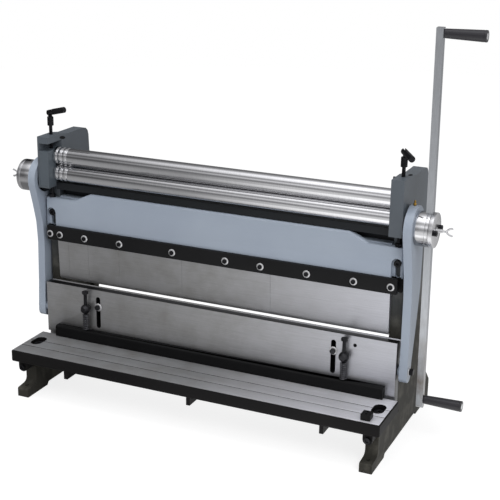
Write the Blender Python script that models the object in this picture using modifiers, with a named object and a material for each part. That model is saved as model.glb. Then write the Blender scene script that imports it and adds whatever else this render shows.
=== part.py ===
"""Combination sheet metal machine: plate rolls above, a box and pan brake in the middle, a shear below.

Metres, +Z up, +X along the machine to the crank side, -Y to the front. The machine frame has
x = 0 in the middle, y = 0 on the ram plate's front face and z = 0 on the floor. One empty shifts
all of it, so that the model's origin is the bottom centre of its bounding box.
"""
import math

import bmesh
import bpy
from mathutils import Matrix, Vector

# Fits and drawing values
GAP = 0.0003
RUNNING = 0.0006
OVERRUN = 0.004
ROUND_SIDES = 24
SMALL_SIDES = 12
ROLL_SIDES = 36
WELD = 0.00001
SMOOTH_ANGLE = math.radians(40)

# The working width, which the frames and everything between and outside them follow
BLADE_HALF = 0.5080

# Side frames
FRAME_LAP = 0.0018
FRAME_THICK = 0.035
FRAME_INNER_X = BLADE_HALF - FRAME_LAP
FRAME_OUTER_X = FRAME_INNER_X + FRAME_THICK
FRAME_MID_X = FRAME_OUTER_X - FRAME_THICK / 2
WEB_THICK = 0.022
TOE_Y = -0.1681
TOE_TOP_Z = 0.0262
TOE_BACK_Z = 0.0310
TOE_FILLET = 0.0150
TOE_EDGE = 0.0040
LEG_FRONT_Y = -0.1225
SHELF_Z = 0.1074
COLUMN_FRONT_Y = 0.0345
ARCH_FRONT_Y = -0.0671
ARCH_REAR_Y = 0.2239
ARCH_TOP_Z = 0.0095
ARCH_SLOPE = 0.0060
FOOT_REAR_Y = 0.350
FOOT_REAR_TOP_Z = 0.060
BACK_LOW_Y = 0.236
BACK_LOW_Z = 0.170
BACK_MID_Y = 0.242
BACK_MID_Z = 0.440
HEAD_FRONT_Y = -0.0189
HEAD_BOTTOM_Z = 0.5927
HEAD_TOP_Z = 0.7412
HEAD_STEP_Z = 0.7345
HEAD_STEP_Y = 0.090
HEAD_REAR_Y = 0.2024
HEAD_REAR_Z = 0.660
HEAD_BACK_Y = 0.1980
HEAD_CORNER_R = 0.026
HEAD_STEP_RUN = 0.040
FLANGE = 0.028
TOE_HOLE_R = 0.006
TOE_HOLE_Y = -0.147

# Rolls and the openings for them in the heads
ROLL_Y = 0.026
ROLL_R = 0.0244
UPPER_ROLL_Z = 0.6821
LOWER_ROLL_Z = 0.6313
ROLL_END_PLAY = 0.0042
ROLL_HALF = FRAME_INNER_X - ROLL_END_PLAY
JOURNAL_R = 0.0110
WIRE_GROOVE_DEPTH = 0.0036
WIRE_GROOVE_WIDTH = 0.0064
WIRE_GROOVE_PITCH = 0.0165
REAR_ROLL_Y = 0.105
REAR_ROLL_Z = 0.650
REAR_TRAVEL = 0.030
ROLL_LIFT = 0.0015
WIRE_GROOVE_COUNT = 3

# Bearing blocks under the clamping screws
BLOCK_BOTTOM_Z = 0.5990
BLOCK_TOP_Z = 0.7005
BLOCK_WINDOW_TOP_Z = 0.7220
BLOCK_CHEEK = 0.0052
BLOCK_OUTER_X = FRAME_OUTER_X - BLOCK_CHEEK
BLOCK_REAR_Y = 0.0530
GEAR_POCKET_DEPTH = 0.0120
GEAR_POCKET_OUTER_X = FRAME_INNER_X + GEAR_POCKET_DEPTH
RIGHT_BLOCK_HALF_Y = 0.0200

# Gears that drive the upper roll
GEAR_TEETH = 24
GEAR_THICK = 0.0085
GEAR_STANDOFF = 0.0060
RIGHT_ANGLE = 90
GEAR_ADDENDUM = 0.0014
GEAR_DEDENDUM = 0.0022
TOOTH_ROOT_SHARE = 0.50
TOOTH_TIP_SHARE = 0.20
GEAR_POCKET_FRONT_Y = -0.0045
GEAR_POCKET_REAR_Y = 0.0565

# Clamping screws with folding grips
SCREW_X = FRAME_MID_X
SCREW_STEM_R = 0.0050
SCREW_SLEEVE_R = 0.0090
SCREW_SLEEVE_BOTTOM_Z = 0.767
SCREW_SLEEVE_TOP_Z = 0.792
SCREW_PIVOT_Z = 0.8045
SCREW_NECK_R = 0.0055
TEE_R = 0.0085
TEE_LENGTH = 0.060
TEE_CLEVIS_WIDTH = 0.0062
LEFT_TEE_AIM_SHARES = (0.97, 0.0, 0.24)
RIGHT_TEE_AIM_SHARES = (0.62, -0.77, -0.15)
TEE_AIMS = {
    "left": Vector(LEFT_TEE_AIM_SHARES).normalized(),
    "right": Vector(RIGHT_TEE_AIM_SHARES).normalized(),
}

# Upper beam, fingers and their clamp bar
BEAM_SETBACK = 0.0007
BEAM_HALF = FRAME_OUTER_X - BEAM_SETBACK
BEAM_FRONT_Y = 0.0120
BEAM_REAR_Y = COLUMN_FRONT_Y - GAP
BEAM_BOTTOM_Z = 0.4313
BEAM_END_TOP_Z = 0.5570
BEAM_TOP_Z = 0.5816
BEAM_SHOULDER_LENGTH = 0.0945
BEAM_RAMP_LENGTH = 0.0560
BEAM_RAMP_OUTER_X = BEAM_HALF - BEAM_SHOULDER_LENGTH
BEAM_RAMP_INNER_X = BEAM_RAMP_OUTER_X - BEAM_RAMP_LENGTH
BEAM_EDGE = 0.004
BEAM_REBATE_Y = 0.0272
BEAM_SLOT_R = 0.0150
BEAM_SLOT_INSET = 0.0450
BEAM_SLOT_TRAVEL = 0.0340
BEAM_SLOT_HIGH_Z = BEAM_END_TOP_Z - BEAM_SLOT_INSET
BEAM_SLOT_LOW_Z = BEAM_SLOT_HIGH_Z - BEAM_SLOT_TRAVEL
RIB_DEPTH = 0.020
RIB_LOW_Z = 0.500
RIB_HIGH_Z = 0.560
CLAMP_FRONT_Y = 0.0040
CLAMP_REAR_Y = 0.0150
CLAMP_TOP_Z = 0.4737
CLAMP_LEFT_SETBACK = 0.0055
CLAMP_RIGHT_SETBACK = 0.0110
CLAMP_LEFT_X = CLAMP_LEFT_SETBACK - BEAM_HALF
CLAMP_RIGHT_X = BEAM_HALF - CLAMP_RIGHT_SETBACK
FINGER_HALF = BLADE_HALF
FINGER_SEAM_SHARES = (-0.9311, -0.8004, -0.5980, -0.1994, 0.3327)
FINGER_SHOULDER_Z = 0.4225
FINGER_SHOULDER_Y = 0.0184
FINGER_NOSE_Z = 0.3186
FINGER_NOSE_Y = 0.0232
FINGER_TIP_Z = 0.3093
FINGER_TIP_FRONT_Y = 0.0270
FINGER_TIP_REAR_Y = 0.0280
FINGER_BACK_Y = BEAM_REAR_Y
FINGER_BACK_LOW_Z = 0.3240
BEAM_BOLT_R = 0.0060
BEAM_BOLT_DEPTH = 0.0220
BEAM_BOLT_HEAD_R = 0.0096
BEAM_BOLT_HEAD_THICK = 0.0080
BEAM_SEAT_Y = 0.0240
JACK_SCREW_R = 0.0060
JACK_HEAD_R = 0.0105
JACK_HEAD_THICK = 0.0090
JACK_Y = 0.0225

# Cross bars between the frames
HEAD_BAR_LOW_Z = 0.5830
HEAD_BAR_HIGH_Z = 0.6040
HEAD_BAR_FRONT_Y = 0.0180
HEAD_SKIRT_THICK = 0.0080
HEAD_SKIRT_LOW_Z = 0.5500
REAR_BAR_DEPTH = 0.030
REAR_BAR_LOW_Z = 0.160
REAR_BAR_HIGH_Z = 0.270

# Lifting arms
ARM_STANDOFF = 0.0055
ARM_INNER_X = FRAME_OUTER_X + ARM_STANDOFF
ARM_THICK = 0.0226
ARM_OUTER_X = ARM_INNER_X + ARM_THICK
ARM_RING_R = 0.058
ARM_BORE_R = 0.0425
ARM_PIVOT_Y = 0.0245
ARM_PIVOT_Z = 0.2165
ARM_FOOT_R = 0.0185
ARM_FOOT_DROP = 0.0135

# An arm's edges: how far across in ring radii, and how high as a share of pivot to hub
ARM_FRONT_SHARES = ((-0.681, 0.832), (-0.388, 0.671), (-0.259, 0.507), (-0.241, 0.191))
ARM_REAR_SHARES = ((0.336, 0.050), (0.750, 0.298), (1.052, 0.547), (1.078, 0.770))
ARM_BOSS_R = 0.0150
ARM_SWELL = 0.0085
ARM_BOLT_R = 0.0070
ARM_BOLT_HEAD_R = 0.0110
ARM_BOLT_HEAD_THICK = 0.0120
ARM_BOLT_DEPTH = 0.022
NIPPLE_R = 0.0038
NIPPLE_HEIGHT = 0.0130

# Eccentric hubs on the lower roll's ends
HUB_THROW = 0.0188
HUB_Z = LOWER_ROLL_Z - HUB_THROW
HUB_R = 0.0456
HUB_INNER_X = ARM_OUTER_X + GAP
HUB_LENGTH = 0.0364
CAP_THICK = 0.0115
HUB_SEAM_X = HUB_INNER_X + HUB_LENGTH
HUB_OUTER_X = HUB_SEAM_X + CAP_THICK
CAM_R = 0.0340
CAM_INNER_X = FRAME_OUTER_X + RUNNING
HUB_BORE_DEPTH = 0.0260
WING_REACH = 0.0445
WING_STEM_R = 0.0050
WING_HALF_WIDTH = 0.0150
WING_THICK = 0.0040
WING_HEIGHT = 0.0120

# Crank bar and its turning grips
BAR_SIDE = 0.0180
BAR_SEAM_SETBACK = 0.0060
BAR_X = HUB_SEAM_X - BAR_SEAM_SETBACK
BAR_TILT = math.radians(2.0)
BAR_TOP_Z = 1.1210
BAR_BOTTOM_Z = 0.1120
GRIP_START_X = BAR_X + BAR_SIDE / 2 + GAP
GRIP_LENGTH = 0.1047
GRIP_END_X = GRIP_START_X + GRIP_LENGTH
GRIP_NECK_R = 0.0110
GRIP_BASE_R = 0.0118
GRIP_FULL_R = 0.0148
GRIP_STUD_R = 0.0045
UPPER_GRIP_INSET = 0.0140
UPPER_GRIP_Z = BAR_TOP_Z - UPPER_GRIP_INSET
LOWER_GRIP_INSET = 0.0250
LOWER_GRIP_Z = BAR_BOTTOM_Z + LOWER_GRIP_INSET

# Ram plate and upper blade
RAM_END_PLAY = 0.0005
RAM_HALF = FRAME_OUTER_X - RAM_END_PLAY
RAM_THICK = 0.0335
RAM_TOP_Z = 0.2998
RAM_BOTTOM_Z = 0.1160
RAM_GROOVE_Y = 0.0275
RAM_GROOVE_HALF = 0.0045
RAM_GROOVE_DEPTH = 0.0060
GUIDE_SHARE = 0.675
GUIDE_X = RAM_HALF * GUIDE_SHARE
GUIDE_SLOT_R = 0.0070
GUIDE_SLOT_LOW_Z = 0.1823
GUIDE_SLOT_HIGH_Z = 0.2790
GUIDE_Z = 0.2475
GUIDE_BOLT_R = 0.0058
GUIDE_BOLT_DEPTH = 0.0180
GUIDE_WASHER_R = 0.0120
GUIDE_WASHER_THICK = 0.0025
GUIDE_HEAD_R = 0.0085
GUIDE_HEAD_THICK = 0.0060
PORT_SHARE = 0.7868
PORT_X = RAM_HALF * PORT_SHARE
PORT_Z = 0.2736
PORT_R = 0.0050
BLADE_DEPTH = 0.0100
BLADE_HEIGHT = 0.0300

# Bed
BED_OVERHANG = 0.0154
BED_HALF = FRAME_OUTER_X + BED_OVERHANG
BED_FRONT_Y = -0.1711
BED_REAR_Y = -0.0005
BED_TOP_Z = 0.1425
BED_BOTTOM_Z = SHELF_Z + GAP
BED_GROOVE_LINES_Y = (-0.0763, -0.1218)
BED_GROOVE_SIDE = 0.0020
BED_CHAMFER = 0.0030
BED_BOLT_Y = -0.0775
BED_BOLT_R = 0.0080
BED_BOLT_HEAD_R = 0.0130
BED_BOLT_HEAD_THICK = 0.0080
BED_BOLT_REACH = 0.030
POCKET_R = 0.0170
POCKET_LENGTH = 0.0580
POCKET_DEPTH = 0.0150
RIB_SHARES = (-0.6746, 0.0243, 0.7178)
BED_RIB_WIDTH = 0.0115
BED_RIB_DEPTH = 0.0500
BED_RIB_LOW_Z = 0.0845
BED_BOSS_R = 0.0135
BED_BOSS_Z = 0.0915
BED_BOSS_FRONT_Y = -0.1630
STOP_SETBACK = 0.0431
STOP_X = BED_HALF - STOP_SETBACK
STOP_Y = -0.1455
STOP_LENGTH = 0.0260
STOP_WIDTH = 0.0290
STOP_HEIGHT = 0.0165

# Hold-down bar with its sprung bolts
HOLD_SHARE = 0.7398
HOLD_X = RAM_HALF * HOLD_SHARE
HOLD_Y = -0.0135
HOLD_BAR_FRONT_Y = -0.0235
HOLD_BAR_REAR_Y = -0.0030
HOLD_BAR_LOW_Z = BED_TOP_Z + GAP
HOLD_BAR_HEIGHT = 0.0332
HOLD_BAR_HIGH_Z = HOLD_BAR_LOW_Z + HOLD_BAR_HEIGHT
HOLD_BAR_LEFT_SETBACK = 0.0080
HOLD_BAR_RIGHT_OVERHANG = 0.0070
HOLD_BAR_LEFT_X = HOLD_BAR_LEFT_SETBACK - BLADE_HALF
HOLD_BAR_RIGHT_X = BLADE_HALF + HOLD_BAR_RIGHT_OVERHANG
HOLD_BAR_CHAMFER = 0.0040
HOLD_BOLT_R = 0.0050
HOLD_HEAD_R = 0.0095
HOLD_HEAD_LOW_Z = 0.2880
HOLD_HEAD_HIGH_Z = 0.2960
HOLD_BOLT_SINK = 0.0120
EYE_Z = 0.2410
EYE_R = 0.0143
EYE_STUD_R = 0.0050
EYE_STUD_DEPTH = 0.0150
SPRING_WIRE_R = 0.0013
SPRING_R = 0.0090
SPRING_TURNS = 9
SPRING_CURL_POINTS = 9

# Rear roll adjusters, screws that slope down and back from the rear roll's blocks
ADJUSTER_KNOB_Y = 0.300
ADJUSTER_KNOB_Z = 0.420
ADJUSTER_SCREW_R = 0.0060
ADJUSTER_KNOB_R = 0.0120
ADJUSTER_KNOB_LENGTH = 0.0220
ADJUSTER_BLOCK_HALF = 0.0125
ADJUSTER_RECESS = 0.0018
ADJUSTER_CHEEK = 0.0112
ADJUSTER_INNER_X = FRAME_INNER_X + ADJUSTER_RECESS
ADJUSTER_OUTER_X = FRAME_OUTER_X - ADJUSTER_CHEEK
ADJUSTER_MID_X = (ADJUSTER_INNER_X + ADJUSTER_OUTER_X) / 2
ADJUSTER_LINE = Vector((0, ADJUSTER_KNOB_Y - REAR_ROLL_Y, ADJUSTER_KNOB_Z - REAR_ROLL_Z))
ADJUSTER_AIM = ADJUSTER_LINE.normalized()
ADJUSTER_LENGTH = ADJUSTER_LINE.length

# Colours: red, green, blue, then roughness and metallic
SLATE = ((0.105, 0.125, 0.150), 0.45, 0.0)
LIGHT_BLUE = ((0.300, 0.360, 0.430), 0.45, 0.0)
DARK_FRAME = ((0.070, 0.075, 0.080), 0.50, 0.0)
BLACK = ((0.018, 0.018, 0.020), 0.40, 0.3)
GROUND = ((0.480, 0.460, 0.430), 0.45, 0.9)
POLISHED = ((0.640, 0.620, 0.590), 0.22, 1.0)
SILVER = ((0.620, 0.620, 0.610), 0.28, 1.0)
SPRING_STEEL = ((0.350, 0.350, 0.350), 0.35, 1.0)
BRASS = ((0.600, 0.420, 0.140), 0.35, 1.0)
GRIP_BLACK = ((0.015, 0.015, 0.016), 0.45, 0.0)

SIDES = {"left": -1, "right": 1}

# Planes for flat outlines: the drawn axes across and up, then the axis they are pushed along
PLANES = {
    "x": Matrix(((0, 0, 1, 0), (1, 0, 0, 0), (0, 1, 0, 0), (0, 0, 0, 1))),
    "y": Matrix(((1, 0, 0, 0), (0, 0, -1, 0), (0, 1, 0, 0), (0, 0, 0, 1))),
    "z": Matrix.Identity(4),
}
AXES = {"x": Vector((1, 0, 0)), "y": Vector((0, 1, 0)), "z": Vector((0, 0, 1))}


def clear_scene():
    """Remove whatever the open scene holds."""
    for item in list(bpy.data.objects):
        bpy.data.objects.remove(item, do_unlink=True)


def new_collection(name):
    """Add a collection to the scene."""
    group = bpy.data.collections.new(name)
    bpy.context.scene.collection.children.link(group)
    return group


clear_scene()
PARTS = new_collection("combination_sheet_metal_machine")
CUTTERS = new_collection("cutters")


def paint(item, look):
    """Give an object its own material."""
    color, roughness, metallic = look
    finish = bpy.data.materials.new(item.name + "_finish")
    finish.use_nodes = True
    shader = finish.node_tree.nodes["Principled BSDF"]
    shader.inputs["Base Color"].default_value = (*color, 1.0)
    shader.inputs["Roughness"].default_value = roughness
    shader.inputs["Metallic"].default_value = metallic
    finish.diffuse_color = (*color, 1.0)
    item.data.materials.append(finish)
    return item


def add_mesh(name, shape, place, tool=False):
    """Turn a bmesh into a part, or into a cutter when it is a tool."""
    mesh = bpy.data.meshes.new(name)
    bmesh.ops.recalc_face_normals(shape, faces=shape.faces)
    shape.to_mesh(mesh)
    shape.free()
    mesh.shade_smooth()
    mesh.set_sharp_from_angle(angle=SMOOTH_ANGLE)
    return add_object(name, mesh, place, tool)


def add_object(name, mesh, place, tool=False):
    """Place a mesh in the collection it belongs to."""
    item = bpy.data.objects.new(name, mesh)
    item.matrix_world = place
    if tool:
        CUTTERS.objects.link(item)
        item.hide_render = True
        item.display_type = "WIRE"
    else:
        PARTS.objects.link(item)
    return item


def box(name, low, high, tool=False):
    """A box between two corners, with its origin at its centre."""
    size = Vector(high) - Vector(low)
    shape = bmesh.new()
    bmesh.ops.create_cube(shape, size=1.0, matrix=Matrix.Diagonal((*size, 1.0)))
    return add_mesh(name, shape, Matrix.Translation((Vector(low) + Vector(high)) / 2), tool)


def aimed(start, aim):
    """The placement whose local Z looks along aim from start."""
    turn = AXES["z"].rotation_difference(Vector(aim)).to_matrix().to_4x4()
    return Matrix.Translation(start) @ turn


def rod(name, radius, start, end, sides=ROUND_SIDES, tool=False):
    """A round bar from one point to another, with its origin halfway."""
    line = Vector(end) - Vector(start)
    shape = bmesh.new()
    bmesh.ops.create_cone(shape, cap_ends=True, segments=sides, radius1=radius, radius2=radius,
                          depth=line.length)
    return add_mesh(name, shape, aimed((Vector(start) + Vector(end)) / 2, line), tool)


def turned(name, profile, start, aim, sides=ROUND_SIDES, tool=False):
    """A profile of (radius, height) pairs, top to bottom, turned about the line along aim."""
    mesh = bpy.data.meshes.new(name)
    points = [(radius, 0.0, height) for radius, height in profile]
    mesh.from_pydata(points, [(index, index + 1) for index in range(len(points) - 1)], [])
    item = add_object(name, mesh, aimed(start, aim), tool)
    spin = item.modifiers.new("turn", "SCREW")
    spin.steps = sides
    spin.render_steps = sides
    spin.use_merge_vertices = True
    spin.merge_threshold = WELD
    return item


def meshed(drawn, name, tool=False):
    """Make a drawn curve a closed mesh that can be cut or joined."""
    bpy.context.view_layer.update()
    place = drawn.matrix_world.copy()
    raw = bpy.data.meshes.new_from_object(drawn.evaluated_get(bpy.context.evaluated_depsgraph_get()))
    shape = bmesh.new()
    shape.from_mesh(raw)
    bmesh.ops.remove_doubles(shape, verts=shape.verts, dist=WELD)
    curve = drawn.data
    bpy.data.objects.remove(drawn)
    bpy.data.curves.remove(curve)
    bpy.data.meshes.remove(raw)
    return add_mesh(name, shape, place, tool)


def plate(name, outline, low, high, axis, tool=False):
    """A flat outline pushed through from low to high along one axis."""
    curve = bpy.data.curves.new(name + "_outline", "CURVE")
    curve.dimensions = "2D"
    curve.fill_mode = "BOTH"
    curve.extrude = (high - low) / 2
    line = curve.splines.new("POLY")
    line.points.add(len(outline) - 1)
    for point, (across, up) in zip(line.points, outline):
        point.co = (across, up, 0.0, 1.0)
    line.use_cyclic_u = True
    drawn = bpy.data.objects.new(name + "_outline", curve)
    CUTTERS.objects.link(drawn)
    drawn.matrix_world = Matrix.Translation(AXES[axis] * (low + high) / 2) @ PLANES[axis]
    return meshed(drawn, name, tool)


def arc(centre, radius, start, end, steps):
    """Points on an arc, its angles in degrees, from start to end."""
    points = []
    for step in range(steps + 1):
        angle = math.radians(start + (end - start) * step / steps)
        points.append((centre[0] + radius * math.cos(angle), centre[1] + radius * math.sin(angle)))
    return points


def rounded(corners, steps=3):
    """An outline whose corners (across, up, radius) become arcs where the radius isn't zero."""
    points = []
    for index, (across, up, radius) in enumerate(corners):
        corner = Vector((across, up))
        if not radius:
            points.append(tuple(corner))
            continue
        before = (Vector(corners[index - 1][:2]) - corner).normalized()
        after = (Vector(corners[(index + 1) % len(corners)][:2]) - corner).normalized()
        half = before.angle(after) / 2
        centre = corner + (before + after).normalized() * radius / math.sin(half)
        first = corner + before * radius / math.tan(half) - centre
        last = corner + after * radius / math.tan(half) - centre
        begin = math.degrees(math.atan2(first.y, first.x))
        sweep = (math.degrees(math.atan2(last.y, last.x)) - begin + 180) % 360 - 180
        points.extend(arc(centre, radius, begin, begin + sweep, steps))
    return points


def slot(name, centre, half_gap, radius, low, high, axis, tool=True):
    """A cutter with round ends, half_gap up and down from its centre, pushed along one axis."""
    across, up = centre
    top = arc((across, up + half_gap), radius, 0, 180, SMALL_SIDES // 2)
    bottom = arc((across, up - half_gap), radius, 180, 360, SMALL_SIDES // 2)
    return plate(name, top + bottom, low, high, axis, tool)


def cut(item, tool):
    """Take a cutter's shape out of a part."""
    step = item.modifiers.new("cut_" + tool.name, "BOOLEAN")
    step.operation = "DIFFERENCE"
    step.object = tool
    return item


def join(item, tool):
    """Fuse a tool's shape to a part."""
    step = item.modifiers.new("join_" + tool.name, "BOOLEAN")
    step.operation = "UNION"
    step.object = tool
    return item


def soften(item, width):
    """Break an object's sharp edges with a narrow flat."""
    edge = item.modifiers.new("soften", "BEVEL")
    edge.width = width
    edge.segments = 1
    edge.limit_method = "ANGLE"
    edge.angle_limit = SMOOTH_ANGLE
    return item


def bore(item, radius, start, end, sides=SMALL_SIDES):
    """Drill a round hole between two points."""
    number = len(item.modifiers)
    return cut(item, rod(f"{item.name}_bore_{number}", radius, start, end, sides, tool=True))


def span(side, near, far):
    """Order two distances from the middle plane into low and high x on one side."""
    return sorted((SIDES[side] * near, SIDES[side] * far))


def back_edge(height):
    """The y of a frame's rear edge at a height between the foot and the head."""
    line = ((FOOT_REAR_Y, FOOT_REAR_TOP_Z), (BACK_LOW_Y, BACK_LOW_Z), (BACK_MID_Y, BACK_MID_Z),
            (HEAD_REAR_Y, HEAD_REAR_Z))
    for (low_y, low_z), (high_y, high_z) in zip(line, line[1:]):
        if height <= high_z:
            break
    return low_y + (high_y - low_y) * (height - low_z) / (high_z - low_z)


def frame_outline():
    """The side view of a frame: foot, leg, column and head."""
    return rounded((
        (TOE_Y, 0, 0),
        (ARCH_FRONT_Y, 0, 0),
        (ARCH_FRONT_Y + ARCH_SLOPE, ARCH_TOP_Z, ARCH_SLOPE / 2),
        (ARCH_REAR_Y - ARCH_SLOPE, ARCH_TOP_Z, ARCH_SLOPE / 2),
        (ARCH_REAR_Y, 0, 0),
        (FOOT_REAR_Y, 0, 0),
        (FOOT_REAR_Y, FOOT_REAR_TOP_Z, FLANGE / 2),
        (BACK_LOW_Y, BACK_LOW_Z, FLANGE),
        (BACK_MID_Y, BACK_MID_Z, FLANGE),
        (HEAD_REAR_Y, HEAD_REAR_Z, FLANGE),
        (HEAD_BACK_Y, HEAD_STEP_Z, HEAD_CORNER_R),
        (HEAD_STEP_Y, HEAD_STEP_Z, 0),
        (HEAD_STEP_Y - HEAD_STEP_RUN, HEAD_TOP_Z, 0),
        (HEAD_FRONT_Y, HEAD_TOP_Z, 0),
        (HEAD_FRONT_Y, HEAD_BOTTOM_Z, 0),
        (COLUMN_FRONT_Y, HEAD_BOTTOM_Z, 0),
        (COLUMN_FRONT_Y, SHELF_Z, 0),
        (LEG_FRONT_Y, SHELF_Z, 0),
        (LEG_FRONT_Y, TOE_BACK_Z, TOE_FILLET),
        (TOE_Y, TOE_TOP_Z, TOE_EDGE),
    ))


def web_pocket(side):
    """The hollow on a column's inner side, which leaves a web and a flange all round."""
    low_z = SHELF_Z + FLANGE
    high_z = HEAD_BOTTOM_Z - FLANGE
    corners = (
        (COLUMN_FRONT_Y + FLANGE, low_z, FLANGE / 2),
        (back_edge(low_z) - FLANGE, low_z, FLANGE / 2),
        (BACK_LOW_Y - FLANGE, BACK_LOW_Z, 0),
        (BACK_MID_Y - FLANGE, BACK_MID_Z, 0),
        (back_edge(high_z) - FLANGE, high_z, FLANGE / 2),
        (COLUMN_FRONT_Y + FLANGE, high_z, FLANGE / 2),
    )
    near, far = span(side, FRAME_INNER_X - OVERRUN, FRAME_OUTER_X - WEB_THICK)
    return plate(f"{side}_web_pocket", rounded(corners), near, far, "x", tool=True)


def head_openings(side):
    """The room in a head for its bearing block, and on the right for the gears too."""
    tools = []
    low_z = BLOCK_BOTTOM_Z - GAP
    near, far = span(side, FRAME_INNER_X - OVERRUN, BLOCK_OUTER_X + GAP)
    if side == "left":
        tools.append(box("left_block_channel", (near, HEAD_FRONT_Y - OVERRUN, low_z),
                         (far, BLOCK_REAR_Y + GAP, BLOCK_WINDOW_TOP_Z), tool=True))
        return tools
    reach = RIGHT_BLOCK_HALF_Y + GAP
    tools.append(box("right_block_channel", (near, ROLL_Y - reach, low_z),
                     (far, ROLL_Y + reach, BLOCK_WINDOW_TOP_Z), tool=True))
    tools.append(box("gear_pocket", (near, GEAR_POCKET_FRONT_Y, low_z),
                     (GEAR_POCKET_OUTER_X, GEAR_POCKET_REAR_Y, BLOCK_WINDOW_TOP_Z), tool=True))
    return tools


def rear_slot(side):
    """The sloping slot in a head that the rear roll's block slides in."""
    half = ADJUSTER_BLOCK_HALF + GAP
    reach = half + REAR_TRAVEL + RUNNING
    near, far = span(side, FRAME_INNER_X - OVERRUN, ADJUSTER_OUTER_X + GAP)
    centre = Vector(((near + far) / 2, REAR_ROLL_Y, REAR_ROLL_Z))
    tool = box(f"{side}_rear_slot", (near, -half, -reach), (far, half, reach), tool=True)
    tool.matrix_world = aimed(centre, ADJUSTER_AIM)
    return tool


def side_frame(side):
    """One cast side: foot, column and head, with its openings and bolt holes."""
    sign = SIDES[side]
    near, far = span(side, FRAME_INNER_X, FRAME_OUTER_X)
    frame = plate(f"{side}_frame", frame_outline(), near, far, "x")
    cut(frame, web_pocket(side))
    for tool in head_openings(side):
        cut(frame, tool)
    cut(frame, rear_slot(side))
    mid = sign * FRAME_MID_X
    bore(frame, SCREW_STEM_R + RUNNING, (sign * SCREW_X, ROLL_Y, BLOCK_WINDOW_TOP_Z - OVERRUN),
         (sign * SCREW_X, ROLL_Y, HEAD_TOP_Z + OVERRUN))
    bore(frame, JOURNAL_R + RUNNING, (sign * (BLOCK_OUTER_X - OVERRUN), ROLL_Y, LOWER_ROLL_Z),
         (sign * (FRAME_OUTER_X + OVERRUN), ROLL_Y, LOWER_ROLL_Z), ROUND_SIDES)
    bore(frame, BEAM_BOLT_R + GAP, (mid, COLUMN_FRONT_Y - OVERRUN, BEAM_SLOT_HIGH_Z),
         (mid, COLUMN_FRONT_Y + BEAM_BOLT_DEPTH, BEAM_SLOT_HIGH_Z))
    bore(frame, BED_BOLT_R + GAP, (mid, BED_BOLT_Y, SHELF_Z - BED_BOLT_REACH),
         (mid, BED_BOLT_Y, SHELF_Z + OVERRUN))
    bore(frame, TOE_HOLE_R, (mid, TOE_HOLE_Y, -OVERRUN), (mid, TOE_HOLE_Y, TOE_TOP_Z + OVERRUN))
    seat = Vector((sign * ADJUSTER_MID_X, REAR_ROLL_Y, REAR_ROLL_Z))
    bore(frame, ADJUSTER_SCREW_R + RUNNING, seat, seat + ADJUSTER_AIM * ADJUSTER_LENGTH)
    return paint(frame, SLATE)


def head_tie_bar():
    """The angle bar under the rolls that holds the heads apart, its skirt down behind the beam."""
    half = FRAME_INNER_X - GAP
    skirt_front = BEAM_REAR_Y + RIB_DEPTH + GAP
    rear = skirt_front + HEAD_SKIRT_THICK
    outline = (
        (HEAD_BAR_FRONT_Y, HEAD_BAR_LOW_Z),
        (skirt_front, HEAD_BAR_LOW_Z),
        (skirt_front, HEAD_SKIRT_LOW_Z),
        (rear, HEAD_SKIRT_LOW_Z),
        (rear, HEAD_BAR_HIGH_Z),
        (HEAD_BAR_FRONT_Y, HEAD_BAR_HIGH_Z),
    )
    return paint(plate("head_tie_bar", outline, -half, half, "x"), SLATE)


def rear_tie_bar():
    """The bar behind the ram plate that holds its guide bolts."""
    half = FRAME_INNER_X - GAP
    front = COLUMN_FRONT_Y + GAP
    bar = box("rear_tie_bar", (-half, front, REAR_BAR_LOW_Z),
              (half, front + REAR_BAR_DEPTH, REAR_BAR_HIGH_Z))
    for sign in SIDES.values():
        bore(bar, GUIDE_BOLT_R + GAP, (sign * GUIDE_X, front - OVERRUN, GUIDE_Z),
             (sign * GUIDE_X, front + GUIDE_BOLT_DEPTH + GAP, GUIDE_Z))
    return paint(bar, DARK_FRAME)


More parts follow.
